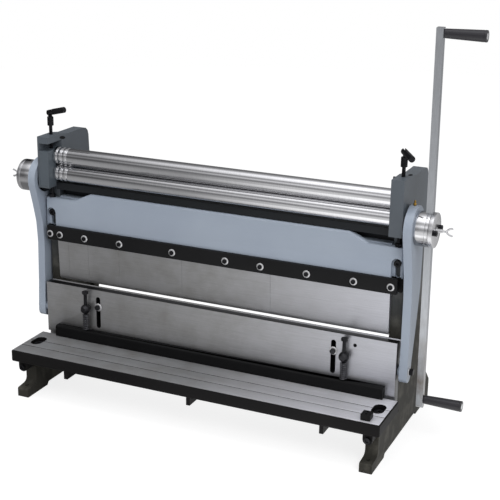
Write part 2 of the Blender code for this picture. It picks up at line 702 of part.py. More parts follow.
def bed():
    """The bed casting: flat top, oval pockets, ribs and bolt bosses below."""
    item = box("bed", (-BED_HALF, BED_FRONT_Y, BED_BOTTOM_Z), (BED_HALF, BED_REAR_Y, BED_TOP_Z))
    soften(item, BED_CHAMFER)
    rebate_y = BED_REAR_Y - BLADE_DEPTH - GAP
    rebate_z = BED_TOP_Z - BLADE_HEIGHT - GAP
    past = BED_HALF + OVERRUN
    cut(item, box("bed_rebate", (-past, rebate_y, rebate_z),
                  (past, BED_REAR_Y + OVERRUN, BED_TOP_Z + OVERRUN), tool=True))
    for number, line_y in enumerate(BED_GROOVE_LINES_Y):
        cut(item, box(f"bed_groove_{number}",
                      (-past, line_y - BED_GROOVE_SIDE / 2, BED_TOP_Z - BED_GROOVE_SIDE / 2),
                      (past, line_y + BED_GROOVE_SIDE / 2, BED_TOP_Z + OVERRUN), tool=True))
    for number, share in enumerate(RIB_SHARES):
        line_x = BED_HALF * share
        front = BED_FRONT_Y + BED_CHAMFER
        join(item, box(f"bed_rib_{number}", (line_x - BED_RIB_WIDTH / 2, front, BED_RIB_LOW_Z),
                       (line_x + BED_RIB_WIDTH / 2, front + BED_RIB_DEPTH, BED_BOTTOM_Z + OVERRUN),
                       tool=True))
    for side, sign in SIDES.items():
        mid = sign * FRAME_MID_X
        half_gap = (BED_BOTTOM_Z + BED_BOSS_R - BED_BOSS_Z) / 2
        join(item, slot(f"{side}_bed_boss", (mid, BED_BOSS_Z + half_gap), half_gap, BED_BOSS_R,
                        BED_BOSS_FRONT_Y, LEG_FRONT_Y - GAP, "y"))
        pocket = slot(f"{side}_bed_pocket", (mid, BED_BOLT_Y), POCKET_LENGTH / 2 - POCKET_R, POCKET_R,
                      BED_TOP_Z - POCKET_DEPTH, BED_TOP_Z + OVERRUN, "z")
        cut(item, pocket)
        bore(item, BED_BOLT_R + GAP, (mid, BED_BOLT_Y, BED_BOTTOM_Z - OVERRUN),
             (mid, BED_BOLT_Y, BED_TOP_Z))
    return paint(item, GROUND)


def lower_blade():
    """The fixed shear blade along the bed's rear edge."""
    blade = box("lower_blade", (-BLADE_HALF, BED_REAR_Y - BLADE_DEPTH, BED_TOP_Z - BLADE_HEIGHT),
                (BLADE_HALF, BED_REAR_Y, BED_TOP_Z))
    return paint(blade, GROUND)


def bed_bolt(side):
    """A bolt from an oval pocket in the bed down into the frame."""
    mid = SIDES[side] * FRAME_MID_X
    floor = BED_TOP_Z - POCKET_DEPTH + GAP
    foot = SHELF_Z - BED_BOLT_REACH + GAP
    head_top = floor + BED_BOLT_HEAD_THICK
    profile = ((0, head_top), (BED_BOLT_HEAD_R, head_top), (BED_BOLT_HEAD_R, floor),
               (BED_BOLT_R, floor), (BED_BOLT_R, foot), (0, foot))
    bolt = turned(f"{side}_bed_bolt", profile, (mid, BED_BOLT_Y, 0), AXES["z"], SMALL_SIDES)
    return paint(bolt, BLACK)


def bed_stop():
    """The small squaring stop on the bed's right end."""
    foot = BED_TOP_Z + GAP
    block = box("bed_stop", (STOP_X - STOP_LENGTH / 2, STOP_Y - STOP_WIDTH / 2, foot),
                (STOP_X + STOP_LENGTH / 2, STOP_Y + STOP_WIDTH / 2, foot + STOP_HEIGHT))
    soften(block, BED_GROOVE_SIDE / 2)
    return paint(block, BLACK)


def beam_outline():
    """The front view of the upper beam, raised in the middle."""
    return (
        (-BEAM_HALF, BEAM_BOTTOM_Z),
        (BEAM_HALF, BEAM_BOTTOM_Z),
        (BEAM_HALF, BEAM_END_TOP_Z),
        (BEAM_RAMP_OUTER_X, BEAM_END_TOP_Z),
        (BEAM_RAMP_INNER_X, BEAM_TOP_Z),
        (-BEAM_RAMP_INNER_X, BEAM_TOP_Z),
        (-BEAM_RAMP_OUTER_X, BEAM_END_TOP_Z),
        (-BEAM_HALF, BEAM_END_TOP_Z),
    )


def upper_beam():
    """The beam over the fingers: raised middle, rebate for the fingers, a slot at each end."""
    beam = plate("upper_beam", beam_outline(), BEAM_FRONT_Y, BEAM_REAR_Y, "y")
    soften(beam, BEAM_EDGE)
    past = BEAM_HALF + OVERRUN
    cut(beam, box("beam_rebate", (-past, BEAM_FRONT_Y - OVERRUN, BEAM_BOTTOM_Z - OVERRUN),
                  (past, BEAM_REBATE_Y + GAP, CLAMP_TOP_Z + GAP), tool=True))
    rib_half = FRAME_INNER_X - OVERRUN
    join(beam, box("beam_rib", (-rib_half, BEAM_REAR_Y - OVERRUN, RIB_LOW_Z),
                   (rib_half, BEAM_REAR_Y + RIB_DEPTH, RIB_HIGH_Z), tool=True))
    middle = (BEAM_SLOT_LOW_Z + BEAM_SLOT_HIGH_Z) / 2
    half_gap = (BEAM_SLOT_HIGH_Z - BEAM_SLOT_LOW_Z) / 2
    for side, sign in SIDES.items():
        cut(beam, slot(f"{side}_beam_slot", (sign * FRAME_MID_X, middle), half_gap, BEAM_SLOT_R,
                       BEAM_FRONT_Y - OVERRUN, BEAM_SEAT_Y, "y"))
        cut(beam, slot(f"{side}_beam_slot_through", (sign * FRAME_MID_X, middle), half_gap,
                       BEAM_BOLT_R + RUNNING, BEAM_SEAT_Y - OVERRUN, BEAM_REAR_Y + OVERRUN, "y"))
    return paint(beam, LIGHT_BLUE)


def beam_bolt(side):
    """The socket bolt that holds a beam end to its column, at the top of the slot."""
    head_rear = BEAM_SEAT_Y - GAP
    head_front = head_rear - BEAM_BOLT_HEAD_THICK
    tip = COLUMN_FRONT_Y + BEAM_BOLT_DEPTH - GAP
    profile = ((0, -head_front), (BEAM_BOLT_HEAD_R, -head_front), (BEAM_BOLT_HEAD_R, -head_rear),
               (BEAM_BOLT_R, -head_rear), (BEAM_BOLT_R, -tip), (0, -tip))
    place = (SIDES[side] * FRAME_MID_X, 0, BEAM_SLOT_HIGH_Z)
    return paint(turned(f"{side}_beam_bolt", profile, place, -AXES["y"], SMALL_SIDES), BLACK)


def beam_jack_screw(side):
    """The screw between a beam end and the head above it, which sets the beam's height."""
    foot = BEAM_END_TOP_Z + GAP
    collar = foot + JACK_HEAD_THICK
    top = HEAD_BOTTOM_Z - GAP
    profile = ((0, top), (JACK_SCREW_R, top), (JACK_SCREW_R, collar), (JACK_HEAD_R, collar),
               (JACK_HEAD_R, foot), (0, foot))
    place = (SIDES[side] * FRAME_MID_X, JACK_Y, 0)
    return paint(turned(f"{side}_beam_jack_screw", profile, place, AXES["z"], SMALL_SIDES), BLACK)


def finger_clamp_bar():
    """The black bar that clamps the fingers to the beam."""
    bar = box("finger_clamp_bar", (CLAMP_LEFT_X, CLAMP_FRONT_Y, BEAM_BOTTOM_Z),
              (CLAMP_RIGHT_X, CLAMP_REAR_Y, CLAMP_TOP_Z))
    soften(bar, BED_GROOVE_SIDE / 2)
    return paint(bar, BLACK)


def brake_fingers():
    """Six fingers of unlike width, side by side along the beam."""
    edges = [FINGER_HALF * share for share in (-1, *FINGER_SEAM_SHARES, 1)]
    front = CLAMP_REAR_Y + GAP
    outline = (
        (front, CLAMP_TOP_Z - GAP),
        (front, BEAM_BOTTOM_Z),
        (FINGER_SHOULDER_Y, FINGER_SHOULDER_Z),
        (FINGER_NOSE_Y, FINGER_NOSE_Z),
        (FINGER_TIP_FRONT_Y, FINGER_TIP_Z),
        (FINGER_TIP_REAR_Y, FINGER_TIP_Z),
        (FINGER_BACK_Y, FINGER_BACK_LOW_Z),
        (FINGER_BACK_Y, BEAM_BOTTOM_Z - GAP),
        (BEAM_REBATE_Y, BEAM_BOTTOM_Z - GAP),
        (BEAM_REBATE_Y, CLAMP_TOP_Z - GAP),
    )
    for number in range(len(edges) - 1):
        finger = plate(f"brake_finger_{number + 1}", outline, edges[number] + GAP / 2,
                       edges[number + 1] - GAP / 2, "x")
        paint(finger, GROUND)


def roll(name, height, line_y, left_end, right_end, grooved):
    """A plain roll with a journal at each end and, if grooved, wire grooves at its left end."""
    profile = [(0, right_end), (JOURNAL_R, right_end), (JOURNAL_R, ROLL_HALF), (ROLL_R, ROLL_HALF)]
    if grooved:
        for number in reversed(range(WIRE_GROOVE_COUNT)):
            middle = WIRE_GROOVE_PITCH * (number + 1) - ROLL_HALF
            profile.append((ROLL_R, middle + WIRE_GROOVE_WIDTH / 2))
            profile.append((ROLL_R - WIRE_GROOVE_DEPTH, middle))
            profile.append((ROLL_R, middle - WIRE_GROOVE_WIDTH / 2))
    profile += [(ROLL_R, -ROLL_HALF), (JOURNAL_R, -ROLL_HALF), (JOURNAL_R, left_end), (0, left_end)]
    item = turned(name, profile, (0, line_y, height), AXES["x"], ROLL_SIDES)
    return paint(item, POLISHED)


def rolls():
    """The driven lower roll, the upper roll in its blocks and the bending roll behind them."""
    block_end = BLOCK_OUTER_X - GAP
    hub_end = CAM_INNER_X + HUB_BORE_DEPTH - GAP
    rear_end = ADJUSTER_OUTER_X - GAP
    roll("upper_roll", UPPER_ROLL_Z, ROLL_Y, -block_end, block_end, True)
    roll("lower_roll", LOWER_ROLL_Z, ROLL_Y, -hub_end, hub_end, True)
    roll("rear_roll", REAR_ROLL_Z, REAR_ROLL_Y, -rear_end, rear_end, False)


def roll_block(side):
    """The sliding block that carries the upper roll, with a slot for the lower roll's journal."""
    if side == "left":
        near, far = span(side, FRAME_INNER_X, BLOCK_OUTER_X)
        front, rear = HEAD_FRONT_Y, BLOCK_REAR_Y
    else:
        near, far = span(side, GEAR_POCKET_OUTER_X + GAP, BLOCK_OUTER_X)
        front, rear = ROLL_Y - RIGHT_BLOCK_HALF_Y, ROLL_Y + RIGHT_BLOCK_HALF_Y
    block = box(f"{side}_roll_block", (near, front, BLOCK_BOTTOM_Z), (far, rear, BLOCK_TOP_Z))
    radius = JOURNAL_R + RUNNING
    bore(block, radius, (near - OVERRUN, ROLL_Y, UPPER_ROLL_Z), (far + OVERRUN, ROLL_Y, UPPER_ROLL_Z),
         ROUND_SIDES)
    cut(block, slot(f"{side}_block_slot", (ROLL_Y, LOWER_ROLL_Z - ROLL_LIFT / 2), ROLL_LIFT / 2, radius,
                    near - OVERRUN, far + OVERRUN, "x"))
    return paint(block, SLATE)


def gear(name, height, half_tooth):
    """A spur gear on a roll's journal, its teeth shifted by half a tooth where asked."""
    pitch_r = (UPPER_ROLL_Z - LOWER_ROLL_Z) / 2
    step = 360 / GEAR_TEETH
    outline = []
    for tooth in range(GEAR_TEETH):
        middle = (tooth + half_tooth / 2) * step + RIGHT_ANGLE
        for radius, share, way in ((pitch_r - GEAR_DEDENDUM, TOOTH_ROOT_SHARE, -1),
                                   (pitch_r + GEAR_ADDENDUM, TOOTH_TIP_SHARE, -1),
                                   (pitch_r + GEAR_ADDENDUM, TOOTH_TIP_SHARE, 1),
                                   (pitch_r - GEAR_DEDENDUM, TOOTH_ROOT_SHARE, 1)):
            angle = middle + way * share * step / 2
            outline.extend(arc((0, 0), radius, angle, angle, 1)[:1])
    start = ROLL_HALF + GEAR_STANDOFF
    item = plate(name, outline, start, start + GEAR_THICK, "x")
    item.matrix_world = Matrix.Translation((0, ROLL_Y, height)) @ item.matrix_world
    bore(item, JOURNAL_R + GAP, (ROLL_HALF, ROLL_Y, height),
         (ROLL_HALF + GEAR_THICK + OVERRUN * 2, ROLL_Y, height), ROUND_SIDES)
    return paint(item, SPRING_STEEL)


def rear_adjuster(side):
    """The rear roll's block with its screw, which slopes down and back to a knob."""
    sign = SIDES[side]
    near, far = span(side, ADJUSTER_INNER_X, ADJUSTER_OUTER_X)
    half = ADJUSTER_BLOCK_HALF
    seat = Vector(((near + far) / 2, REAR_ROLL_Y, REAR_ROLL_Z))
    item = box(f"{side}_rear_adjuster", (near, -half, -half), (far, half, half))
    item.matrix_world = aimed(seat, ADJUSTER_AIM)
    end = seat + ADJUSTER_AIM * ADJUSTER_LENGTH
    join(item, rod(f"{side}_adjuster_screw", ADJUSTER_SCREW_R, seat + ADJUSTER_AIM * half / 2, end,
                   SMALL_SIDES, tool=True))
    join(item, rod(f"{side}_adjuster_knob", ADJUSTER_KNOB_R, end - ADJUSTER_AIM * OVERRUN,
                   end + ADJUSTER_AIM * ADJUSTER_KNOB_LENGTH, SMALL_SIDES, tool=True))
    bore(item, JOURNAL_R + RUNNING, (sign * ROLL_HALF, REAR_ROLL_Y, REAR_ROLL_Z),
         (sign * (ADJUSTER_OUTER_X + OVERRUN), REAR_ROLL_Y, REAR_ROLL_Z), ROUND_SIDES)
    return paint(item, BLACK)


def clamp_screw(side):
    """The screw over a bearing block, with a sleeve and a flat tongue for its folding grip."""
    foot = BLOCK_TOP_Z + GAP
    profile = ((0, SCREW_SLEEVE_TOP_Z), (SCREW_SLEEVE_R, SCREW_SLEEVE_TOP_Z),
               (SCREW_SLEEVE_R, SCREW_SLEEVE_BOTTOM_Z), (SCREW_STEM_R, SCREW_SLEEVE_BOTTOM_Z),
               (SCREW_STEM_R, foot), (0, foot))
    screw = turned(f"{side}_clamp_screw", profile, (SIDES[side] * SCREW_X, ROLL_Y, 0), AXES["z"],
                   SMALL_SIDES)
    thick = TEE_CLEVIS_WIDTH / 2 - GAP
    low_z = SCREW_SLEEVE_TOP_Z - OVERRUN
    tongue = plate(f"{side}_tongue", ((-SCREW_NECK_R, low_z), (SCREW_NECK_R, low_z))
                   + tuple(arc((0, SCREW_PIVOT_Z), SCREW_NECK_R, 0, 180, SMALL_SIDES // 2)),
                   -thick, thick, "y", tool=True)
    aim = TEE_AIMS[side]
    turn = Matrix.Rotation(math.atan2(aim.y, aim.x), 4, "Z")
    place = Matrix.Translation((SIDES[side] * SCREW_X, ROLL_Y, 0)) @ turn
    tongue.matrix_world = place @ tongue.matrix_world
    return paint(join(screw, tongue), BLACK)


def clamp_grip(side):
    """The round grip that folds on a clamping screw, forked over its tongue."""
    aim = TEE_AIMS[side]
    pivot = Vector((SIDES[side] * SCREW_X, ROLL_Y, SCREW_PIVOT_Z))
    grip = rod(f"{side}_clamp_grip", TEE_R, pivot - aim * TEE_R, pivot + aim * (TEE_LENGTH - TEE_R),
               SMALL_SIDES)
    soften(grip, TEE_R / 5)
    across = Vector((aim.y, -aim.x, 0)).normalized()
    half = TEE_CLEVIS_WIDTH / 2
    fork = box(f"{side}_fork", (-half, -TEE_R - OVERRUN, -TEE_R - OVERRUN),
               (half, TEE_R + OVERRUN, TEE_R), tool=True)
    turn = Matrix((across, aim.cross(across), aim)).transposed().to_4x4()
    fork.matrix_world = Matrix.Translation(pivot - aim * OVERRUN / 2) @ turn
    return paint(cut(grip, fork), BLACK)


def eccentric_hub(side):
    """The hub on a lower roll end: a cam inside the arm's ring, a drum with the bar's slot."""
    sign = SIDES[side]
    profile = ((0, HUB_SEAM_X), (HUB_R, HUB_SEAM_X), (HUB_R, HUB_INNER_X), (CAM_R, HUB_INNER_X),
               (CAM_R, CAM_INNER_X), (0, CAM_INNER_X))
    hub = turned(f"{side}_eccentric_hub", profile, (0, ROLL_Y, HUB_Z), AXES["x"] * sign, ROLL_SIDES)
    bore(hub, JOURNAL_R + GAP, (sign * (CAM_INNER_X - OVERRUN), ROLL_Y, LOWER_ROLL_Z),
         (sign * (CAM_INNER_X + HUB_BORE_DEPTH), ROLL_Y, LOWER_ROLL_Z), ROUND_SIDES)
    return paint(cut(hub, bar_slot(side, "hub")), SILVER)


def bar_slot(side, name):
    """A cutter the size of the crank bar, right through a hub."""
    half = BAR_SIDE / 2 + GAP
    reach = HUB_R + OVERRUN
    far = BAR_X + half
    if name == "hub":
        far = HUB_SEAM_X + OVERRUN
    near, far = span(side, BAR_X - half, far)
    tool = box(f"{side}_{name}_bar_slot", (near, -half, -reach), (far, half, reach), tool=True)
    tool.matrix_world = bar_place((near + far) / 2)
    return tool


def bar_place(across):
    """The crank bar's placement: about the hub's centre, its top tilted to the front."""
    return Matrix.Translation((across, ROLL_Y, HUB_Z)) @ Matrix.Rotation(BAR_TILT, 4, "X")


def hub_cap(side):
    """The disc that closes a hub over the crank bar, bored for the wing screw."""
    sign = SIDES[side]
    start = HUB_SEAM_X + GAP
    cap = rod(f"{side}_hub_cap", HUB_R, (sign * start, ROLL_Y, HUB_Z), (sign * HUB_OUTER_X, ROLL_Y, HUB_Z),
              ROLL_SIDES)
    cut(cap, bar_slot(side, "cap"))
    bore(cap, WING_STEM_R + GAP, (sign * HUB_SEAM_X, ROLL_Y, HUB_Z),
         (sign * (HUB_OUTER_X + OVERRUN), ROLL_Y, HUB_Z))
    return paint(cap, SILVER)


def wing_screw(side):
    """The wing screw that presses on the crank bar through a cap."""
    sign = SIDES[side]
    start = BAR_X + BAR_SIDE / 2 + GAP * 2
    end = HUB_OUTER_X + WING_REACH
    root = end - WING_HEIGHT
    stem = rod(f"{side}_wing_screw", WING_STEM_R, (sign * start, ROLL_Y, HUB_Z), (sign * root, ROLL_Y, HUB_Z),
               SMALL_SIDES)
    half = WING_HALF_WIDTH
    thin = WING_THICK
    wings = ((-thin, -WING_HEIGHT), (thin, -WING_HEIGHT), (half, 0), (half - thin, WING_HEIGHT),
             (0, 0), (thin - half, WING_HEIGHT), (-half, 0))
    tool = plate(f"{side}_wings", wings, -WING_THICK / 2, WING_THICK / 2, "y", tool=True)
    tool.matrix_world = (Matrix.Translation((sign * root, ROLL_Y, HUB_Z))
                         @ Matrix.Rotation(math.pi / 2 * sign, 4, "Y") @ tool.matrix_world)
    return paint(join(stem, tool), SILVER)


def crank_bar():
    """The long square bar with a round lower end, through the right hub."""
    half = BAR_SIDE / 2
    top = (BAR_TOP_Z - HUB_Z) / math.cos(BAR_TILT)
    bottom = (BAR_BOTTOM_Z - HUB_Z) / math.cos(BAR_TILT)
    foot = arc((0, bottom + half), half, 180, 360, SMALL_SIDES // 2)
    bar = plate("crank_bar", [(half, top), (-half, top)] + foot, -half, half, "x")
    bar.matrix_world = bar_place(BAR_X) @ bar.matrix_world
    for height in (UPPER_GRIP_Z, LOWER_GRIP_Z):
        middle = bar_point(height)
        reach = AXES["x"] * (half + OVERRUN)
        bore(bar, GRIP_STUD_R + GAP, middle - reach, middle + reach)
    return paint(bar, SILVER)


def bar_point(height):
    """The point of the crank bar's middle line at a height."""
    return Vector((BAR_X, ROLL_Y - (height - HUB_Z) * math.tan(BAR_TILT), height))


def turning_grip(name, height):
    """A tapered grip with the stud it turns on, out from the crank bar."""
    length = GRIP_END_X - GRIP_START_X
    profile = ((0, length), (GRIP_FULL_R - GRIP_STUD_R / 2, length),
               (GRIP_FULL_R, length - GRIP_STUD_R / 2),
               (GRIP_BASE_R, GRIP_STUD_R), (GRIP_NECK_R, 0), (GRIP_STUD_R, 0),
               (GRIP_STUD_R, -BAR_SIDE), (0, -BAR_SIDE))
    start = bar_point(height)
    start.x = GRIP_START_X
    return paint(turned(name, profile, start, AXES["x"]), GRIP_BLACK)


def arm_edge(shares):
    """Points on an arm's edge, from its foot pivot, in ring radii across and shares of its length up."""
    length = HUB_Z - ARM_PIVOT_Z
    return [(ARM_PIVOT_Y + ARM_RING_R * across, ARM_PIVOT_Z + length * up) for across, up in shares]


def lifting_arm(side):
    """The arm from the eccentric hub down to the ram plate's end."""
    sign = SIDES[side]
    ring = arc((ROLL_Y, HUB_Z), ARM_RING_R, 0, 195, ROUND_SIDES // 2)
    foot = arc((ARM_PIVOT_Y, ARM_PIVOT_Z - ARM_FOOT_DROP), ARM_FOOT_R, 180, 360, SMALL_SIDES // 2)
    outline = ring + arm_edge(ARM_FRONT_SHARES) + foot + arm_edge(ARM_REAR_SHARES)
    near, far = span(side, ARM_INNER_X, ARM_OUTER_X)
    arm = plate(f"{side}_arm", outline, near, far, "x")
    join(arm, rod(f"{side}_arm_boss", ARM_BOSS_R,
                  (sign * (FRAME_OUTER_X + RUNNING), ARM_PIVOT_Y, ARM_PIVOT_Z),
                  (sign * (ARM_INNER_X + OVERRUN), ARM_PIVOT_Y, ARM_PIVOT_Z), tool=True))
    if side == "left":
        join(arm, rod("left_arm_swell", ARM_BOSS_R,
                      (sign * (ARM_OUTER_X - OVERRUN), ARM_PIVOT_Y, ARM_PIVOT_Z),
                      (sign * (ARM_OUTER_X + ARM_SWELL), ARM_PIVOT_Y, ARM_PIVOT_Z), tool=True))
    reach = ARM_THICK + ARM_SWELL + OVERRUN
    bore(arm, ARM_BORE_R, (sign * (ARM_INNER_X - OVERRUN), ROLL_Y, HUB_Z),
         (sign * (ARM_OUTER_X + OVERRUN), ROLL_Y, HUB_Z), ROLL_SIDES)
    bore(arm, ARM_BOLT_R + RUNNING, (sign * FRAME_OUTER_X, ARM_PIVOT_Y, ARM_PIVOT_Z),
         (sign * (ARM_INNER_X + reach), ARM_PIVOT_Y, ARM_PIVOT_Z))
    return paint(arm, LIGHT_BLUE)


def arm_bolt(side):
    """The bolt that an arm swings on, screwed into the ram plate's end."""
    sign = SIDES[side]
    seat = ARM_OUTER_X + GAP
    if side == "left":
        seat += ARM_SWELL
    top = seat + ARM_BOLT_HEAD_THICK
    foot = RAM_HALF - ARM_BOLT_DEPTH + GAP
    profile = ((0, top), (ARM_BOLT_HEAD_R, top), (ARM_BOLT_HEAD_R, seat), (ARM_BOLT_R, seat),
               (ARM_BOLT_R, foot), (0, foot))
    bolt = turned(f"{side}_arm_bolt", profile, (0, ARM_PIVOT_Y, ARM_PIVOT_Z), AXES["x"] * sign, SMALL_SIDES)
    return paint(bolt, BLACK)


def grease_nipple():
    """The grease nipple on top of the right arm's ring."""
    foot = HUB_Z + ARM_RING_R + GAP
    top = foot + NIPPLE_HEIGHT
    neck = foot + NIPPLE_HEIGHT / 2
    profile = ((0, top), (NIPPLE_R / 2, top), (NIPPLE_R * 2 / 3, (top + neck) / 2), (NIPPLE_R / 2, neck),
               (NIPPLE_R, neck), (NIPPLE_R, foot), (0, foot))
    place = ((ARM_INNER_X + ARM_OUTER_X) / 2, ROLL_Y, 0)
    return paint(turned("grease_nipple", profile, place, AXES["z"], SMALL_SIDES), BRASS)


def ram_plate():
    """The plate that rides up and down: V groove on top, rebate for its blade, guide slots."""
    rebate_top = RAM_BOTTOM_Z + BLADE_HEIGHT + GAP
    rebate_rear = BLADE_DEPTH + GAP
    outline = (
        (rebate_rear, RAM_BOTTOM_Z),
        (RAM_THICK, RAM_BOTTOM_Z),
        (RAM_THICK, RAM_TOP_Z),
        (RAM_GROOVE_Y + RAM_GROOVE_HALF, RAM_TOP_Z),
        (RAM_GROOVE_Y, RAM_TOP_Z - RAM_GROOVE_DEPTH),
        (RAM_GROOVE_Y - RAM_GROOVE_HALF, RAM_TOP_Z),
        (0, RAM_TOP_Z),
        (0, rebate_top),
        (rebate_rear, rebate_top),
    )
    ram = plate("ram_plate", outline, -RAM_HALF, RAM_HALF, "x")
    middle = (GUIDE_SLOT_LOW_Z + GUIDE_SLOT_HIGH_Z) / 2
    half_gap = (GUIDE_SLOT_HIGH_Z - GUIDE_SLOT_LOW_Z) / 2 - GUIDE_SLOT_R
    for side, sign in SIDES.items():
        cut(ram, slot(f"{side}_guide_slot", (sign * GUIDE_X, middle), half_gap, GUIDE_SLOT_R,
                      -OVERRUN, RAM_THICK + OVERRUN, "y"))
        bore(ram, EYE_STUD_R + GAP, (sign * HOLD_X, -OVERRUN, EYE_Z),
             (sign * HOLD_X, EYE_STUD_DEPTH + GAP, EYE_Z))
        bore(ram, ARM_BOLT_R + GAP, (sign * (RAM_HALF - ARM_BOLT_DEPTH), ARM_PIVOT_Y, ARM_PIVOT_Z),
             (sign * (RAM_HALF + OVERRUN), ARM_PIVOT_Y, ARM_PIVOT_Z))
    bore(ram, PORT_R, (PORT_X, -OVERRUN, PORT_Z), (PORT_X, RAM_THICK + OVERRUN, PORT_Z))
    return paint(ram, GROUND)


def upper_blade():
    """The moving shear blade in the ram plate's lower rebate."""
    blade = box("upper_blade", (-BLADE_HALF, 0, RAM_BOTTOM_Z),
                (BLADE_HALF, BLADE_DEPTH, RAM_BOTTOM_Z + BLADE_HEIGHT))
    return paint(blade, GROUND)


def guide_bolt(side):
    """The bolt through a ram slot into the rear tie bar, with its washer."""
    tip = COLUMN_FRONT_Y + GAP + GUIDE_BOLT_DEPTH
    washer = GAP + GUIDE_WASHER_THICK
    head = washer + GUIDE_HEAD_THICK
    profile = ((0, head), (GUIDE_HEAD_R, head), (GUIDE_HEAD_R, washer), (GUIDE_WASHER_R, washer),
               (GUIDE_WASHER_R, GAP), (GUIDE_BOLT_R, GAP), (GUIDE_BOLT_R, -tip), (0, -tip))
    place = (SIDES[side] * GUIDE_X, 0, GUIDE_Z)
    return paint(turned(f"{side}_guide_bolt", profile, place, -AXES["y"], SMALL_SIDES), BLACK)


def hold_down_eye(side):
    """The eye on the ram plate that a hold-down bolt slides in."""
    front = EYE_R - HOLD_Y
    profile = ((0, front), (EYE_R * 2 / 3, front), (EYE_R, front - EYE_R / 3), (EYE_R, GAP),
               (EYE_STUD_R, GAP), (EYE_STUD_R, -EYE_STUD_DEPTH), (0, -EYE_STUD_DEPTH))
    eye = turned(f"{side}_hold_down_eye", profile, (SIDES[side] * HOLD_X, 0, EYE_Z), -AXES["y"],
                 SMALL_SIDES)
    reach = AXES["z"] * (EYE_R + OVERRUN)
    middle = Vector((SIDES[side] * HOLD_X, HOLD_Y, EYE_Z))
    return paint(bore(eye, HOLD_BOLT_R + RUNNING, middle - reach, middle + reach), BLACK)


def hold_down_bolt(side):
    """The bolt that guides the hold-down bar, through the eye and down into the bar."""
    foot = HOLD_BAR_HIGH_Z - HOLD_BOLT_SINK + GAP
    profile = ((0, HOLD_HEAD_HIGH_Z), (HOLD_HEAD_R, HOLD_HEAD_HIGH_Z), (HOLD_HEAD_R, HOLD_HEAD_LOW_Z),
               (HOLD_BOLT_R, HOLD_HEAD_LOW_Z), (HOLD_BOLT_R, foot), (0, foot))
    place = (SIDES[side] * HOLD_X, HOLD_Y, 0)
    return paint(turned(f"{side}_hold_down_bolt", profile, place, AXES["z"], SMALL_SIDES), BLACK)


def spring_points(low, high):
    """The middle line of a coil spring whose ends stand straight on their seats."""
    wire = SPRING_WIRE_R * 2
    points = [Vector((SPRING_R, 0, low))]
    count = SPRING_TURNS * SPRING_CURL_POINTS
    for step in range(count + 1):
        angle = math.tau * step / SPRING_CURL_POINTS
        height = low + wire + (high - low - wire * 2) * step / count
        points.append(Vector((SPRING_R * math.cos(angle), SPRING_R * math.sin(angle), height)))
    points.append(Vector((SPRING_R, 0, high)))
    return points


def least_coil_gap(points):
    """The least free space between two curls of a spring."""
    least = math.inf
    for first, here in enumerate(points):
        for there in points[first + SPRING_CURL_POINTS // 2:]:
            least = min(least, (here - there).length)
    return least - SPRING_WIRE_R * 2


def hold_down_spring(side):
    """The coil spring between an eye and the hold-down bar."""
    low = HOLD_BAR_HIGH_Z + GAP
    high = EYE_Z - EYE_R - GAP
    points = spring_points(0, high - low)
    print("least gap in", side, "spring", round(least_coil_gap(points), 5))
    name = f"{side}_hold_down_spring"
    curve = bpy.data.curves.new(name + "_line", "CURVE")
    curve.dimensions = "3D"
    curve.bevel_depth = SPRING_WIRE_R
    curve.bevel_resolution = 1
    curve.use_fill_caps = True
    line = curve.splines.new("POLY")
    line.points.add(len(points) - 1)
    for point, place in zip(line.points, points):
        point.co = (*place, 1.0)
    drawn = bpy.data.objects.new(name + "_line", curve)
    CUTTERS.objects.link(drawn)
    drawn.matrix_world = Matrix.Translation((SIDES[side] * HOLD_X, HOLD_Y, low))
    return paint(meshed(drawn, name), SPRING_STEEL)


def hold_down_bar():
    """The black bar that holds the sheet on the bed."""
    edge = HOLD_BAR_CHAMFER
    outline = (
        (HOLD_BAR_FRONT_Y, HOLD_BAR_LOW_Z),
        (HOLD_BAR_REAR_Y, HOLD_BAR_LOW_Z),
        (HOLD_BAR_REAR_Y, HOLD_BAR_HIGH_Z),
        (HOLD_BAR_FRONT_Y + edge, HOLD_BAR_HIGH_Z),
        (HOLD_BAR_FRONT_Y, HOLD_BAR_HIGH_Z - edge),
    )
    bar = plate("hold_down_bar", outline, HOLD_BAR_LEFT_X, HOLD_BAR_RIGHT_X, "x")
    for sign in SIDES.values():
        bore(bar, HOLD_BOLT_R + GAP, (sign * HOLD_X, HOLD_Y, HOLD_BAR_HIGH_Z - HOLD_BOLT_SINK),
             (sign * HOLD_X, HOLD_Y, HOLD_BAR_HIGH_Z + OVERRUN))
    return paint(bar, BLACK)


def carry(name, place, pieces):
    """Parent pieces to an empty on their joint's axis, without moving them."""
    axis = bpy.data.objects.new(name, None)
    axis.location = place
    PARTS.objects.link(axis)
    bpy.context.view_layer.update()
    for piece in pieces:
        item = bpy.data.objects[piece]
        item.parent = axis
        item.matrix_parent_inverse = axis.matrix_world.inverted()
    return axis


def both(*names):
    """The left and the right piece of each name."""
    return [f"{side}_{name}" for name in names for side in SIDES]


